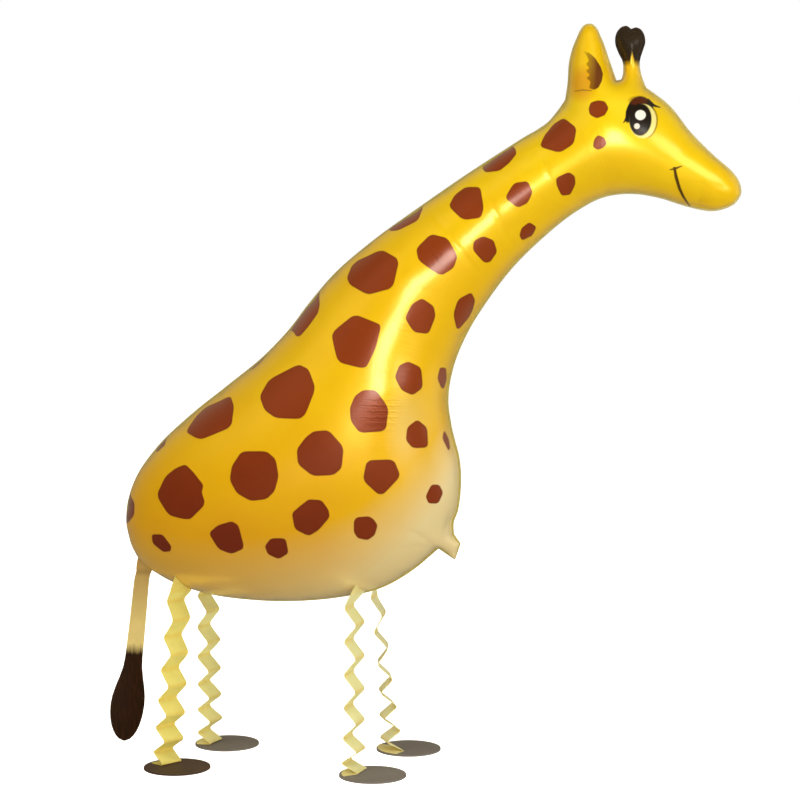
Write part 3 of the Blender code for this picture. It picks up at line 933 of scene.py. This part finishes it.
def skin_points(settings, points, triangles, on_seam, rings, half, camera):
    """The near skin's points in space, inflated and puckered, and the wave of its seam."""
    guess = np.array([max(0.0, camera.half_depth(x, z) - half) ** 2 for x, z in points])
    turns = TURNS
    height = np.sqrt(pillow(points, triangles, on_seam, guess, settings.flattening, turns))
    place = np.stack([points[:, 0], -half - height, points[:, 1]], axis=1)
    run, total, depth = along_seam(points, rings)
    climb = np.hypot(depth, height)
    dent = pucker_dents(settings, run, total, climb)
    dent += crease_dents(points, camera) * rise(climb, CREASE_START)
    place -= point_normals(place, triangles) * dent[:, None]
    place[:, 1] = np.minimum(place[:, 1], -half)
    return place, seam_wave(settings, run, rings)


def spot_depth(points, camera):
    """How deep each point lies in a printed spot, or -1 well away from them all."""
    depth = np.full(len(points), -1.0)
    for corners in SPOTS + EDGE_SPOTS:
        shape = rounded(camera.line(corners))
        low, high = shape.min(axis=0) - SPOT_MARGIN, shape.max(axis=0) + SPOT_MARGIN
        close = np.all((points > low) & (points < high), axis=1)
        depth[close] = np.maximum(depth[close], polygon_depth(points[close], shape))
    return depth


def print_guides(points, camera):
    """What the print and the film's relief follow, by name, at each point of the pattern."""
    belly = camera.line(BELLY_LINE)
    ridge = smooth_line(camera.line(RIDGE))
    aside, along = line_distance(points, ridge)
    ripple = np.zeros(len(points))
    for x, z, reach, strength in RIPPLES:
        ripple = np.maximum(ripple, strength * hump(points, camera, x, z, reach))
    return {
        "spot": spot_depth(points, camera),
        "belly": np.interp(points[:, 0], belly[:, 0], belly[:, 1]) - points[:, 1],
        "ear": polygon_depth(points, camera.line(EAR_INNER)),
        "along": along * running_length(ridge)[-1],
        "aside": aside,
        "ripple": ripple,
    }


def new_piece(name, points, faces, material, replaced):
    """A finished mesh object, parented to the body, that hides the frame nodes it replaces."""
    mesh = bpy.data.meshes.new(name)
    mesh.from_pydata(points.tolist(), [], [list(face) for face in faces])
    mesh.update()
    piece = bpy.data.objects.new(name, mesh)
    bpy.context.scene.collection.objects.link(piece)
    mesh.materials.append(material)
    mesh.shade_smooth()
    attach(piece, BODY)
    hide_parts(*replaced)
    return piece


def point_values(mesh, name, values):
    """Stores a value for each point of a mesh, for its material to read."""
    attribute = mesh.attributes.new(name, "FLOAT", "POINT")
    attribute.data.foreach_set("value", values.astype(np.float32))


def sharpen(mesh, rings):
    """Marks the edges along closed rings of points as sharp."""
    sharp = set()
    for ring in rings:
        sharp.update(frozenset(pair) for pair in zip(ring.tolist(), np.roll(ring, -1).tolist()))
    ends = np.empty(len(mesh.edges) * 2, np.int32)
    mesh.edges.foreach_get("vertices", ends)
    marks = [frozenset(pair) in sharp for pair in ends.reshape(-1, 2).tolist()]
    attribute = mesh.attributes.new("sharp_edge", "BOOLEAN", "EDGE")
    attribute.data.foreach_set("value", marks)


def build_envelope(context):
    """The printed foil: a near and a far skin, joined round the seam."""
    settings = context.scene.balloon_envelope
    cad = triangle_corners(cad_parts["foil_envelope"])
    camera = PhotoCamera(context.scene.balloon_stage, cad)
    loop, half = rim_outline(cad)
    outline = smooth_outline(loop, settings.seam_spacing)
    points, triangles, rings = pattern_mesh(settings, outline)
    total = len(points)
    rim, seam = rings[0], rings[2]
    on_seam = np.arange(total) <= seam[-1]
    near, wave = skin_points(settings, points, triangles, on_seam, rings, half, camera)
    far = near * (1, -1, 1)
    near[:, 1] += wave
    far[:, 1] += wave
    faces = np.vstack([triangles, triangles[:, ::-1] + total, strip(rim + total, rim)])
    piece = new_piece("envelope", np.vstack([near, far]), faces,
                      envelope_finish(settings, camera), ["foil_envelope"])
    for name, values in print_guides(points, camera).items():
        point_values(piece.data, name, np.tile(values, 2))
    point_values(piece.data, "outside", np.tile(on_seam, 2))
    sharpen(piece.data, [rim, rim + total, seam, seam + total])


def ellipse_depth(x, z, centre, half_x, half_z):
    """Depth inside an ellipse in metres, from its centre and half axes."""
    across = (x - centre[0]) / half_x
    up = (z - centre[1]) / half_z
    return (1.0 - (across * across + up * up).root()) * min(half_x, half_z)


def stroke_depth(x, z, start, end, half_widths):
    """Depth inside a tapered stroke with round ends, in metres."""
    side_x, side_z = end[0] - start[0], end[1] - start[1]
    square = side_x ** 2 + side_z ** 2
    from_x, from_z = x - start[0], z - start[1]
    along = ((from_x * side_x + from_z * side_z) / square).clamp()
    gap_x, gap_z = from_x - along * side_x, from_z - along * side_z
    width = along * (half_widths[1] - half_widths[0]) + half_widths[0]
    return width - (gap_x * gap_x + gap_z * gap_z).root()


class Print:
    """The colour printed on the foil: each call prints over what is there."""

    def __init__(self, finish, camera, settings):
        self.finish = finish
        self.camera = camera
        self.colours = settings
        self.point, self.x, self.z = finish.place()
        self.soft = EDGE_BLUR * camera.pixel
        # Soft patches all over, and 1 where the coat lies low and towards the rear: the mask of
        # painted shade there.
        self.patchy = finish.noise(self.point, PATCH, 3.0)
        self.low = self.z.ramp(*LOW_SHADE_HEIGHTS) * (self.x.ramp(*REAR_SHADE_PLACES) * 0.7 + 0.3)
        self.coat = finish.mix(self.z.ramp(*LEMON_HEIGHTS), settings.yellow, settings.lemon)

    def at(self, column, row):
        """Where a pixel lies on the skin: its x and z."""
        return self.camera.on_skin((column, row)).tolist()

    def edge(self, depth, blurred=1.0):
        """1 where the depth is above zero, with a print's soft edge."""
        return depth.ramp(-self.soft * blurred, self.soft * blurred)

    def inside(self, shape):
        """1 inside an ellipse given in pixels, with how blurred it is."""
        *ellipse, blurred = shape
        return self.edge(ellipse_depth(self.x, self.z, *self.camera.ellipse(*ellipse)), blurred)

    def paint(self, mask, paint):
        """Prints a colour where the mask is 1."""
        self.coat = self.finish.mix(mask, self.coat, paint)

    def line(self, corners, paint):
        """Prints a line through corners that give a column, a row and a width in pixels."""
        places = [self.at(*corner[:2]) for corner in corners]
        widths = [corner[2] * self.camera.pixel / 2 for corner in corners]
        strokes = [stroke_depth(self.x, self.z, *places[k:k + 2], widths[k:k + 2])
                   for k in range(len(corners) - 1)]
        depth = strokes[0]
        for stroke in strokes[1:]:
            depth = depth.most(stroke)
        self.paint(self.edge(depth), paint)


def print_coat(ink):
    """Deeper yellow low down and towards the rear as painted shade, deeper yellow on the crown and
    in patches, a pale belly that turns tan towards the rear as painted shade, and a painted
    highlight on the chest.
    """
    colours, finish = ink.colours, ink.finish
    # Painted shade: deeper yellow low down and towards the rear, added to the crown and the soft
    # patches.
    warm = ink.low + ink.z.ramp(*CROWN_HEIGHTS) * 0.35 + (ink.patchy - 0.5) * 0.7 + 0.12
    ink.paint(warm.clamp(), colours.deep_yellow_and_shade)
    # Painted shade: the belly's cream darkens to tan towards the rear.
    cream = finish.mix(ink.x.ramp(*CREAM_PLACES), colours.tan, colours.cream)
    ink.paint(finish.attribute("belly").ramp(*BELLY_FADE), cream)
    # Painted highlight: a paler patch of coat on the chest.
    ink.paint(ink.inside(CHEST_PAINTED_HIGHLIGHT) * 0.3, colours.cream)


def print_ear(ink):
    """The ear: orange at its root, brown inside, with a dark line of painted shade in the crease
    under it.
    """
    colours = ink.colours
    inner = ink.edge(ink.finish.attribute("ear"))
    ink.paint(ink.inside(EAR_SHADE) * 0.6, colours.ear_orange)
    fur = ink.x.ramp(*(ink.at(column, EAR_ROW)[0] for column in EAR_FADE))
    ink.paint(inner * (0.5 + fur * 0.5), colours.ear_brown)
    # Painted shade in the crease under the ear.
    ink.line(EAR_CREASE_SHADE, CREASE_SHADE_BROWN)


def print_spots(ink):
    """Brown spots, darker along their edges, and darker low down as painted shade."""
    colours, finish = ink.colours, ink.finish
    spot = finish.attribute("spot")
    # Painted shade: the spots turn darker brown low down and towards the rear.
    brown = finish.mix((ink.low + (ink.patchy - 0.5) * 0.6).clamp(), colours.brown,
                       colours.dark_brown_and_shade)
    edged = finish.mix(spot.ramp(*SPOT_EDGE) * 0.5, brown, colours.dark_brown_and_shade)
    ink.paint(ink.edge(spot), edged)


def print_knob(ink):
    """The horn's dark knob, with a pointed notch in its lower edge. Gives its mask."""
    column, row, half_width = KNOB_NOTCH
    notch, tip = ink.at(column, row)
    high, low = (ink.at(column, edge)[1] for edge in KNOB_EDGE)
    beside = abs(ink.x - notch) / (half_width * ink.camera.pixel)
    lift = (1.0 - beside).most(0.0) * (tip - high)
    on_horn = ink.x.ramp(*(notch - start for start in HORN_START))
    knob = (ink.z - lift).ramp(low, high) * on_horn
    ink.paint(knob, ink.finish.mix(ink.patchy, ink.colours.black, KNOB_BROWN))
    return knob


def print_face(ink):
    """The eye with its lid and lashes, and the smile."""
    colours = ink.colours
    lid_x, lid_z = ink.at(*LID_END)
    rim = ink.inside(EYE_RIM) * ink.x.ramp(*(lid_x + start for start in RIM_START))
    ink.paint(rim * 0.6, colours.line)
    ink.paint(ink.inside(LID) * ink.z.ramp(lid_z - LID_BLUR, lid_z + LID_BLUR), colours.black)
    for lash in LASHES:
        ink.line(lash, colours.black)
    ink.paint(ink.inside(LID_GLOW) * 0.7, colours.maroon)
    ink.paint(ink.inside(EYE_WHITE), colours.eye_white)
    ink.paint(ink.inside(PUPIL), colours.black)
    ink.paint(ink.inside(PUPIL_SHINE) * 0.25, SHINE_GREY)
    ink.paint(ink.inside(GLINT), GLINT_WHITE)
    ink.paint(ink.inside(LOW_GLINT), LOW_GLINT_WHITE)
    ink.line(SMILE, colours.line)
    ink.line(SMILE_TICK, colours.line)


def film_relief(finish, point, film):
    """Height of the film's fine relief: ripples across the ridge, crinkles along it, and film."""
    along, aside, ripple = (finish.attribute(name) for name in ("along", "aside", "ripple"))
    wobble = finish.noise(point, WOBBLE) * WOBBLE_REACH
    fine = (along * (2 * math.pi / FINE_RIPPLE) + wobble).sine() * 0.5
    broad = (along * (2 * math.pi / BROAD_RIPPLE) + wobble * 1.3).sine()
    lengthways = finish.node("ShaderNodeCombineXYZ", None, {0: along, 1: aside * 0.1})
    crinkle = finish.noise(lengthways, CRINKLE) * aside.ramp(*CRINKLE_FADE)
    return ((fine + broad) * ripple * RIPPLE_HEIGHT + crinkle * CRINKLE_HEIGHT
            + film * FILM_HEIGHT)


def envelope_finish(settings, camera):
    """Printed foil: yellow coat, brown spots, pale belly, face, horn and ear."""
    finish = Finish("printed foil")
    ink = Print(finish, camera, settings)
    print_coat(ink)
    print_ear(ink)
    print_spots(ink)
    # The seam band: the bare welded edge, its darker olive partly painted shade along the rim.
    seam = finish.attribute("outside").ramp(0.0, 0.6)
    ink.paint(seam, settings.seam_colour_and_edge_shade)
    knob = print_knob(ink)
    print_face(ink)
    film = finish.noise(ink.point, FILM, 4.0)
    finish.set({
        "Base Color": ink.coat,
        "Metallic": 0.25 - seam * 0.25,
        "Roughness": seam * 0.3 + knob * 0.2 + film * 0.06 + 0.29,
        "Coat Weight": (1.0 - seam * 0.8) * (1.0 - knob * 0.75) * 0.85,
        "Coat Roughness": 0.2,
        "Coat IOR": 1.6,
        "Specular IOR Level": 0.35,
        "Normal": finish.bump(film_relief(finish, ink.point, film)),
    })
    return finish.material


def welded(node):
    """A copy of a thin frame node, welded, in quads."""
    mesh = bmesh.new()
    mesh.from_mesh(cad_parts[node].data)
    bmesh.ops.remove_doubles(mesh, verts=mesh.verts, dist=WELD_DISTANCE)
    bmesh.ops.join_triangles(mesh, faces=mesh.faces, angle_face_threshold=QUAD_BEND,
                             angle_shape_threshold=QUAD_SKEW)
    return mesh


def refine(mesh, cell):
    """Halves the edges that are longer than a cell, up to four times."""
    for _ in range(4):
        long = [edge for edge in mesh.edges if edge.calc_length() > cell]
        if long:
            bmesh.ops.subdivide_edges(mesh, edges=long, cuts=1, use_grid_fill=True)


def places_of(vertices):
    """The places of some of a mesh's points, as an array."""
    return np.array([vertex.co.to_tuple() for vertex in vertices])


def keep_one_side(mesh):
    """Leaves one broad side of a thin strip, as an open sheet."""
    broad = {face for face in mesh.faces
             if face.calc_area() / face.calc_perimeter() > BROAD_FACE}
    kept, waiting = set(), [next(face for face in mesh.faces if face in broad)]
    while waiting:
        face = waiting.pop()
        kept.add(face)
        for edge in face.edges:
            waiting += [other for other in edge.link_faces if other in broad - kept]
    bmesh.ops.delete(mesh, geom=[face for face in mesh.faces if face not in kept],
                     context="FACES")


def thicken(mesh, thickness):
    """Turns an open sheet into a solid one, by a second sheet under it."""
    bmesh.ops.recalc_face_normals(mesh, faces=mesh.faces)
    mesh.normal_update()
    sheet = list(mesh.faces)
    border = [tuple(edge.verts) for edge in mesh.edges if len(edge.link_faces) == 1]
    under = {vertex: mesh.verts.new(vertex.co - vertex.normal * thickness)
             for vertex in list(mesh.verts)}
    for face in sheet:
        mesh.faces.new([under[vertex] for vertex in reversed(face.verts)])
    for start, end in border:
        mesh.faces.new([start, end, under[end], under[start]])


def piece_from(name, mesh, material, replaced):
    """Turns a built mesh into a finished piece that replaces its frame node."""
    bmesh.ops.recalc_face_normals(mesh, faces=mesh.faces)
    points = places_of(mesh.verts)
    mesh.verts.index_update()
    faces = [[vertex.index for vertex in face.verts] for face in mesh.faces]
    mesh.free()
    piece = new_piece(name, points, faces, material, [replaced])
    piece.data.set_sharp_from_angle(angle=SHARP_ANGLE)
    return piece


def wander(points, size, amount, seed):
    """A smooth push for each point, up to about that amount, that changes over that size."""
    noise.seed_set(SEED)
    pushes = [noise.noise_vector(Vector(point) / size + Vector((seed, 0.0, 0.0)))
              for point in points]
    return np.array(pushes) * amount


def folded_leg(name, settings, material, seed):
    """One paper leg: a strip with rounded folds and panels that aren't quite flat."""
    mesh = welded(name)
    keep_one_side(mesh)
    folds = [edge for edge in mesh.edges
             if len(edge.link_faces) == 2 and edge.calc_face_angle() > FOLD_ANGLE]
    heights = np.unique(np.round([edge.verts[0].co.z for edge in folds], 4))
    bmesh.ops.bevel(mesh, geom=folds, offset=settings.fold_round, segments=FOLD_SEGMENTS,
                    profile=0.5, affect="EDGES", clamp_overlap=False)
    refine(mesh, PAPER_CELL)
    places = places_of(mesh.verts)
    push = wander(places, PAPER_WAVE, settings.curl, seed)
    z = places[:, 2]
    free = np.clip((z - z.min()) / HELD_RUN, 0, 1)
    free *= np.clip((z.max() - TOP_TAB - z) / HELD_RUN, 0, 1)
    for vertex, move in zip(mesh.verts, push * free[:, None]):
        vertex.co += Vector(move)
    if name != PLAIN_END:
        spread_tab(mesh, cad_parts[name.replace("leg", "foot")], settings.tab_spread)
    thicken(mesh, settings.thickness)
    piece = piece_from(f"paper_{name}", mesh, material, name)
    z = places_of(piece.data.vertices)[:, 2]
    point_values(piece.data, "fold", np.abs(z[:, None] - heights[None, :]).min(axis=1))


def spread_tab(mesh, foot, spread):
    """Fans the leg's flat glued end out from its fold to the rear edge of its round card foot."""
    card = places_of(foot.data.vertices)
    centre = ((card.min(axis=0) + card.max(axis=0)) / 2)[:2]
    radius = (card[:, 0].max() - card[:, 0].min()) / 2 - RIM_GAP
    flat = min(vertex.co.z for vertex in mesh.verts) + GLUED_DEPTH
    tab = [vertex for vertex in mesh.verts if vertex.co.z < flat]
    places = places_of(tab)[:, :2]
    back, across = np.linalg.eigh(np.cov(places.T))[1].T
    back = -back * math.copysign(1.0, back[0])
    run, aside = places @ back, places @ across
    part = ((run - run.min()) / (run.max() - run.min()))[:, None]
    side = (aside - (aside.max() + aside.min()) / 2) / (aside.max() - aside.min()) * 2
    at_fold = run.min() * back + aside[:, None] * across
    turn = (side * spread)[:, None]
    at_rim = centre + radius * (np.cos(turn) * back + np.sin(turn) * across)
    for vertex, place in zip(tab, at_fold + part * (at_rim - at_fold)):
        vertex.co.x, vertex.co.y = place


def darker(paint, part):
    """A colour with only that share of its light."""
    return [channel * part for channel in paint]


def paper_finish(name, paint, settings):
    """Soft paper: fibres, mottling, and painted shade along the folds."""
    finish = Finish(name)
    point = finish.place()[0]
    fibres = finish.noise(point, settings.fibre, 4.0, (1.0, 1.0, 0.35))
    cloud = finish.noise(point, PAPER_CLOUD)
    # Painted shade along the folds: a deeper tint near each fold line.
    fold_shade_mask = finish.attribute("fold").ramp(settings.fold_round, 0.0)
    tone = finish.mix((cloud - 0.4).clamp() * 0.8, paint, darker(paint, 0.72))
    tone = finish.mix(fold_shade_mask * (0.25 + cloud * 0.5), tone, settings.fold)
    finish.set({
        "Base Color": tone,
        "Roughness": fibres * 0.15 + 0.62,
        "Subsurface Weight": 0.4,
        "Subsurface Radius": (1.0, 0.8, 0.5),
        "Subsurface Scale": 0.004,
        "Normal": finish.bump(fibres * FIBRE_HEIGHT + cloud * CLOUD_HEIGHT),
    })
    return finish.material


def build_legs(context):
    """Four folded paper legs, the far ones painted paler as painted light against the shade they
    stand in.
    """
    settings = context.scene.balloon_paper
    papers = (("front_left", "pale front paper", settings.front_far_painted_light),
              ("front_right", "front paper", settings.front),
              ("rear_left", "pale rear paper", settings.rear_far_painted_light),
              ("rear_right", "rear paper", settings.rear))
    for seed, (name, paper, paint) in enumerate(papers):
        material = paper_finish(paper, paint, settings)
        folded_leg(f"leg_{name}", settings, material, 3.0 * seed)


def card_finish(name, paint):
    """Matt card with soft mottling and a fine grain."""
    finish = Finish(name)
    point = finish.place()[0]
    grain = finish.noise(point, CARD_GRAIN, 4.0)
    shade = finish.noise(point, MOTTLING * CARD_GRAIN)
    finish.set({
        "Base Color": finish.mix((shade - 0.35) * 0.5, paint, darker(paint, 0.75)),
        "Roughness": 0.6,
        "Normal": finish.bump(grain, 0.2, CARD_HEIGHT),
    })
    return finish.material


def build_feet(context):
    """Card on the four foot discs, browner on the near rear one."""
    settings = context.scene.balloon_feet
    grey = card_finish("grey card", settings.card)
    brown = card_finish("brown card", settings.brown_card)
    for name in ("front_left", "front_right", "rear_left", "rear_right"):
        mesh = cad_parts[f"foot_{name}"].data
        mesh.materials.clear()
        mesh.materials.append(brown if name == "rear_right" else grey)


def tail_finish(settings):
    """Printed foil of the tail: a tan strap that runs into a dark, streaky tuft, with painted shade
    next to the body and at the kink.
    """
    finish = Finish("tail foil")
    point, _, z = finish.place()
    hairs = finish.noise(point, HAIR, 3.0, (1.0, 1.0, 0.12))
    cloud = finish.noise(point, TAIL_CLOUD)
    # Painted shade: the strap is darker next to the body, and darker still in the kink's crease.
    fade = z.ramp(settings.kink + 0.02, settings.tuft_top + 0.03)
    strap = finish.mix(fade, settings.top, settings.strap)
    crease = (1.0 - abs(z - settings.kink) / 0.006).most(0.0)
    strap = finish.mix(crease * 0.45 + (cloud - 0.5) * 0.2, strap, darker(settings.top, 0.5))
    tuft = finish.mix((hairs - 0.42).clamp() * 1.2, settings.tuft, settings.rust)
    edge = z + (hairs - 0.5) * 0.012
    in_tuft = edge.ramp(settings.tuft_top + 0.007, settings.tuft_top - 0.006)
    finish.set({
        "Base Color": finish.mix(in_tuft, strap, tuft),
        "Metallic": 0.25,
        "Roughness": cloud * 0.15 + 0.3 + in_tuft * 0.1,
        "Coat Weight": 0.4 - in_tuft * 0.25,
        "Coat Roughness": 0.2,
        "Normal": finish.bump(hairs * HAIR_HEIGHT + cloud * TAIL_CLOUD_HEIGHT),
    })
    return finish.material


def build_tail(context):
    """The foil tail, curled out of its plane, cupped across and kinked in its strap."""
    settings = context.scene.balloon_tail
    mesh = welded("tail")
    refine(mesh, TAIL_CELL)
    bmesh.ops.triangulate(mesh, faces=mesh.faces)
    places = places_of(mesh.verts)
    x, z = places[:, 0], places[:, 2]
    start = z.max() - TAIL_HELD
    fall = np.clip((start - z) / (start - z.min()), 0, 1)
    aside = x - np.interp(z, *middle_line(x, z))
    out = settings.sway * np.sin(fall * math.pi * TAIL_TURNS) * fall ** 0.5
    cup = TAIL_CUP * aside ** 2 * np.clip(fall * CUP_GROWTH, 0, 1)
    kink = KINK_PUSH * np.exp(-((z - settings.kink) / KINK_REACH) ** 2)
    for vertex, across, along in zip(mesh.verts, out - cup, kink):
        vertex.co.y += across
        vertex.co.x += along
    piece_from("tail_foil", mesh, tail_finish(settings), "tail")


def middle_line(x, z):
    """Heights along the tail, and the middle of its width at each."""
    rows = np.unique(z.round(3))
    widths = [x[np.abs(z - row) < ROW_REACH] for row in rows]
    return rows, [(width.max() + width.min()) / 2 for width in widths]


def point_at(thing, place, aim):
    """Puts the camera or a lamp in its place, turned to face the aim."""
    thing.location = place
    thing.rotation_mode = "QUATERNION"
    thing.rotation_quaternion = (Vector(aim) - Vector(place)).to_track_quat("-Z", "Y")
    bpy.context.scene.collection.objects.link(thing)


def softbox(name, place, aim, size, watts):
    """A rectangular area light that faces a point."""
    data = bpy.data.lights.new(name, "AREA")
    data.shape = "RECTANGLE"
    data.size, data.size_y = size
    data.energy = watts
    data.color = WARM
    lamp = bpy.data.objects.new(name, data)
    lamp.visible_camera = False
    point_at(lamp, place, aim)
    return lamp


def studio_world(settings):
    """Light from all round: bright behind the balloon, dim in front of it, white to the camera."""
    world = bpy.data.worlds.new("studio")
    world.use_nodes = True
    sky = Nodes(world.node_tree)
    way = sky.node("ShaderNodeTexCoord", output="Generated")
    back, up = (sky.node("ShaderNodeSeparateXYZ", None, {0: way}, output=axis) for axis in "YZ")
    behind = sky.node("ShaderNodeMapRange", {"interpolation_type": "SMOOTHSTEP"},
                      {"Value": back, "From Min": ROOM_BACK[0], "From Max": ROOM_BACK[1],
                       "To Min": settings.world_front, "To Max": settings.world_behind})
    above = sky.node("ShaderNodeMapRange", None,
                     {"Value": up, "From Min": ROOM_FOOT[0], "From Max": ROOM_FOOT[1],
                      "To Min": ROOM_FOOT_LIGHT, "To Max": 1.0})
    seen = sky.node("ShaderNodeLightPath", output="Is Camera Ray")
    strength = sky.node("ShaderNodeMix", None, {0: seen, 2: behind * above, 3: 1.0})
    background = sky.tree.nodes["Background"]
    sky.feed(background.inputs["Color"], sky.mix(seen, ROOM_TINT, WHITE))
    sky.feed(background.inputs["Strength"], strength)
    return world


def floor_finish(settings):
    """A plain pale floor that shows white behind the balloon."""
    finish = Finish("studio floor")
    finish.set({"Base Color": settings.floor, "Roughness": 0.9, "Specular IOR Level": 0.1})
    matt = Shade(finish, finish.shader.outputs[0])
    glow = finish.node("ShaderNodeEmission", None,
                       {"Color": WHITE, "Strength": settings.floor_glow})
    lit = finish.node("ShaderNodeAddShader", None, {0: glow, 1: matt})
    seen = finish.node("ShaderNodeLightPath", output="Is Camera Ray")
    mixed = finish.node("ShaderNodeMixShader", None, {0: seen, 1: matt, 2: lit})
    finish.feed(finish.tree.nodes["Material Output"].inputs["Surface"], mixed)
    return finish.material


def build_stage(context):
    """The camera at the photograph's angle, the floor, the room's light and the lamps."""
    scene = context.scene
    settings = scene.balloon_stage
    aim = Vector((settings.aim_x, 0.0, settings.aim_z))
    camera = bpy.data.objects.new("camera", bpy.data.cameras.new("camera"))
    camera.data.lens = settings.lens
    camera.data.sensor_width = SENSOR_WIDTH
    towards = Vector(direction(settings.azimuth, settings.elevation))
    point_at(camera, aim + towards * settings.distance, aim)
    scene.camera = camera
    scene.view_settings.view_transform = "Standard"
    bpy.ops.mesh.primitive_circle_add(vertices=96, radius=FLOOR_RADIUS, fill_type="NGON",
                                      location=(0.0, 0.0, 0.0))
    floor = context.object
    floor.name = "studio_floor"
    floor.data.materials.append(floor_finish(settings))
    floor.visible_glossy = False
    scene.world = studio_world(settings)
    softbox("key", *KEY_LAMP, settings.key_power).visible_diffuse = False
    softbox("brow", *BROW_LAMP, settings.brow_power)
    for name, azimuth, elevation, size in LAMPS_AROUND:
        towards = Vector(direction(math.radians(azimuth), math.radians(elevation)))
        lamp = softbox(name, aim + towards * LAMP_DISTANCE, aim, size,
                       getattr(settings, f"{name}_power"))
        lamp.visible_glossy = name == "edge"


class BALLOON_OT_envelope(bpy.types.Operator):
    """Inflates the printed foil envelope over its frame"""

    bl_idname = "balloon.envelope"
    bl_label = "Foil envelope"

    def execute(self, context):
        build_envelope(context)
        return {"FINISHED"}


class BALLOON_OT_legs(bpy.types.Operator):
    """Gives the folded legs their paper"""

    bl_idname = "balloon.legs"
    bl_label = "Paper legs"

    def execute(self, context):
        build_legs(context)
        return {"FINISHED"}


class BALLOON_OT_feet(bpy.types.Operator):
    """Gives the foot discs their card"""

    bl_idname = "balloon.feet"
    bl_label = "Card feet"

    def execute(self, context):
        build_feet(context)
        return {"FINISHED"}


class BALLOON_OT_tail(bpy.types.Operator):
    """Makes the strap and tuft of the tail"""

    bl_idname = "balloon.tail"
    bl_label = "Foil tail"

    def execute(self, context):
        build_tail(context)
        return {"FINISHED"}


class BALLOON_OT_stage(bpy.types.Operator):
    """Sets up the floor, the camera and the lights"""

    bl_idname = "balloon.stage"
    bl_label = "Studio"

    def execute(self, context):
        build_stage(context)
        return {"FINISHED"}


class BALLOON_PT_sidebar(bpy.types.Panel):
    """Lists the balloon's pieces and their values"""

    bl_idname = "BALLOON_PT_sidebar"
    bl_label = "Giraffe balloon"
    bl_space_type = "VIEW_3D"
    bl_region_type = "UI"
    bl_category = "Balloon"

    def draw(self, context):
        for name, _, operator in STEPS:
            box = self.layout.box()
            box.operator(operator.bl_idname)
            values = getattr(context.scene, name)
            for value in values.__annotations__:
                box.prop(values, value)


# Each step's values in the scene, the group that holds them, and the operator that builds it.
STEPS = (
    ("balloon_envelope", BalloonEnvelope, BALLOON_OT_envelope),
    ("balloon_paper", BalloonPaper, BALLOON_OT_legs),
    ("balloon_feet", BalloonFeet, BALLOON_OT_feet),
    ("balloon_tail", BalloonTail, BALLOON_OT_tail),
    ("balloon_stage", BalloonStage, BALLOON_OT_stage),
)


def register():
    for name, group, operator in STEPS:
        bpy.utils.register_class(group)
        setattr(bpy.types.Scene, name, PointerProperty(type=group))
        bpy.utils.register_class(operator)
    bpy.utils.register_class(BALLOON_PT_sidebar)


def unregister():
    bpy.utils.unregister_class(BALLOON_PT_sidebar)
    for name, group, operator in reversed(STEPS):
        bpy.utils.unregister_class(operator)
        delattr(bpy.types.Scene, name)
        bpy.utils.unregister_class(group)


def main():
    """Builds every piece and the stage."""
    register()
    bpy.ops.balloon.envelope()
    bpy.ops.balloon.legs()
    bpy.ops.balloon.feet()
    bpy.ops.balloon.tail()
    bpy.ops.balloon.stage()


if __name__ == "__main__":
    main()
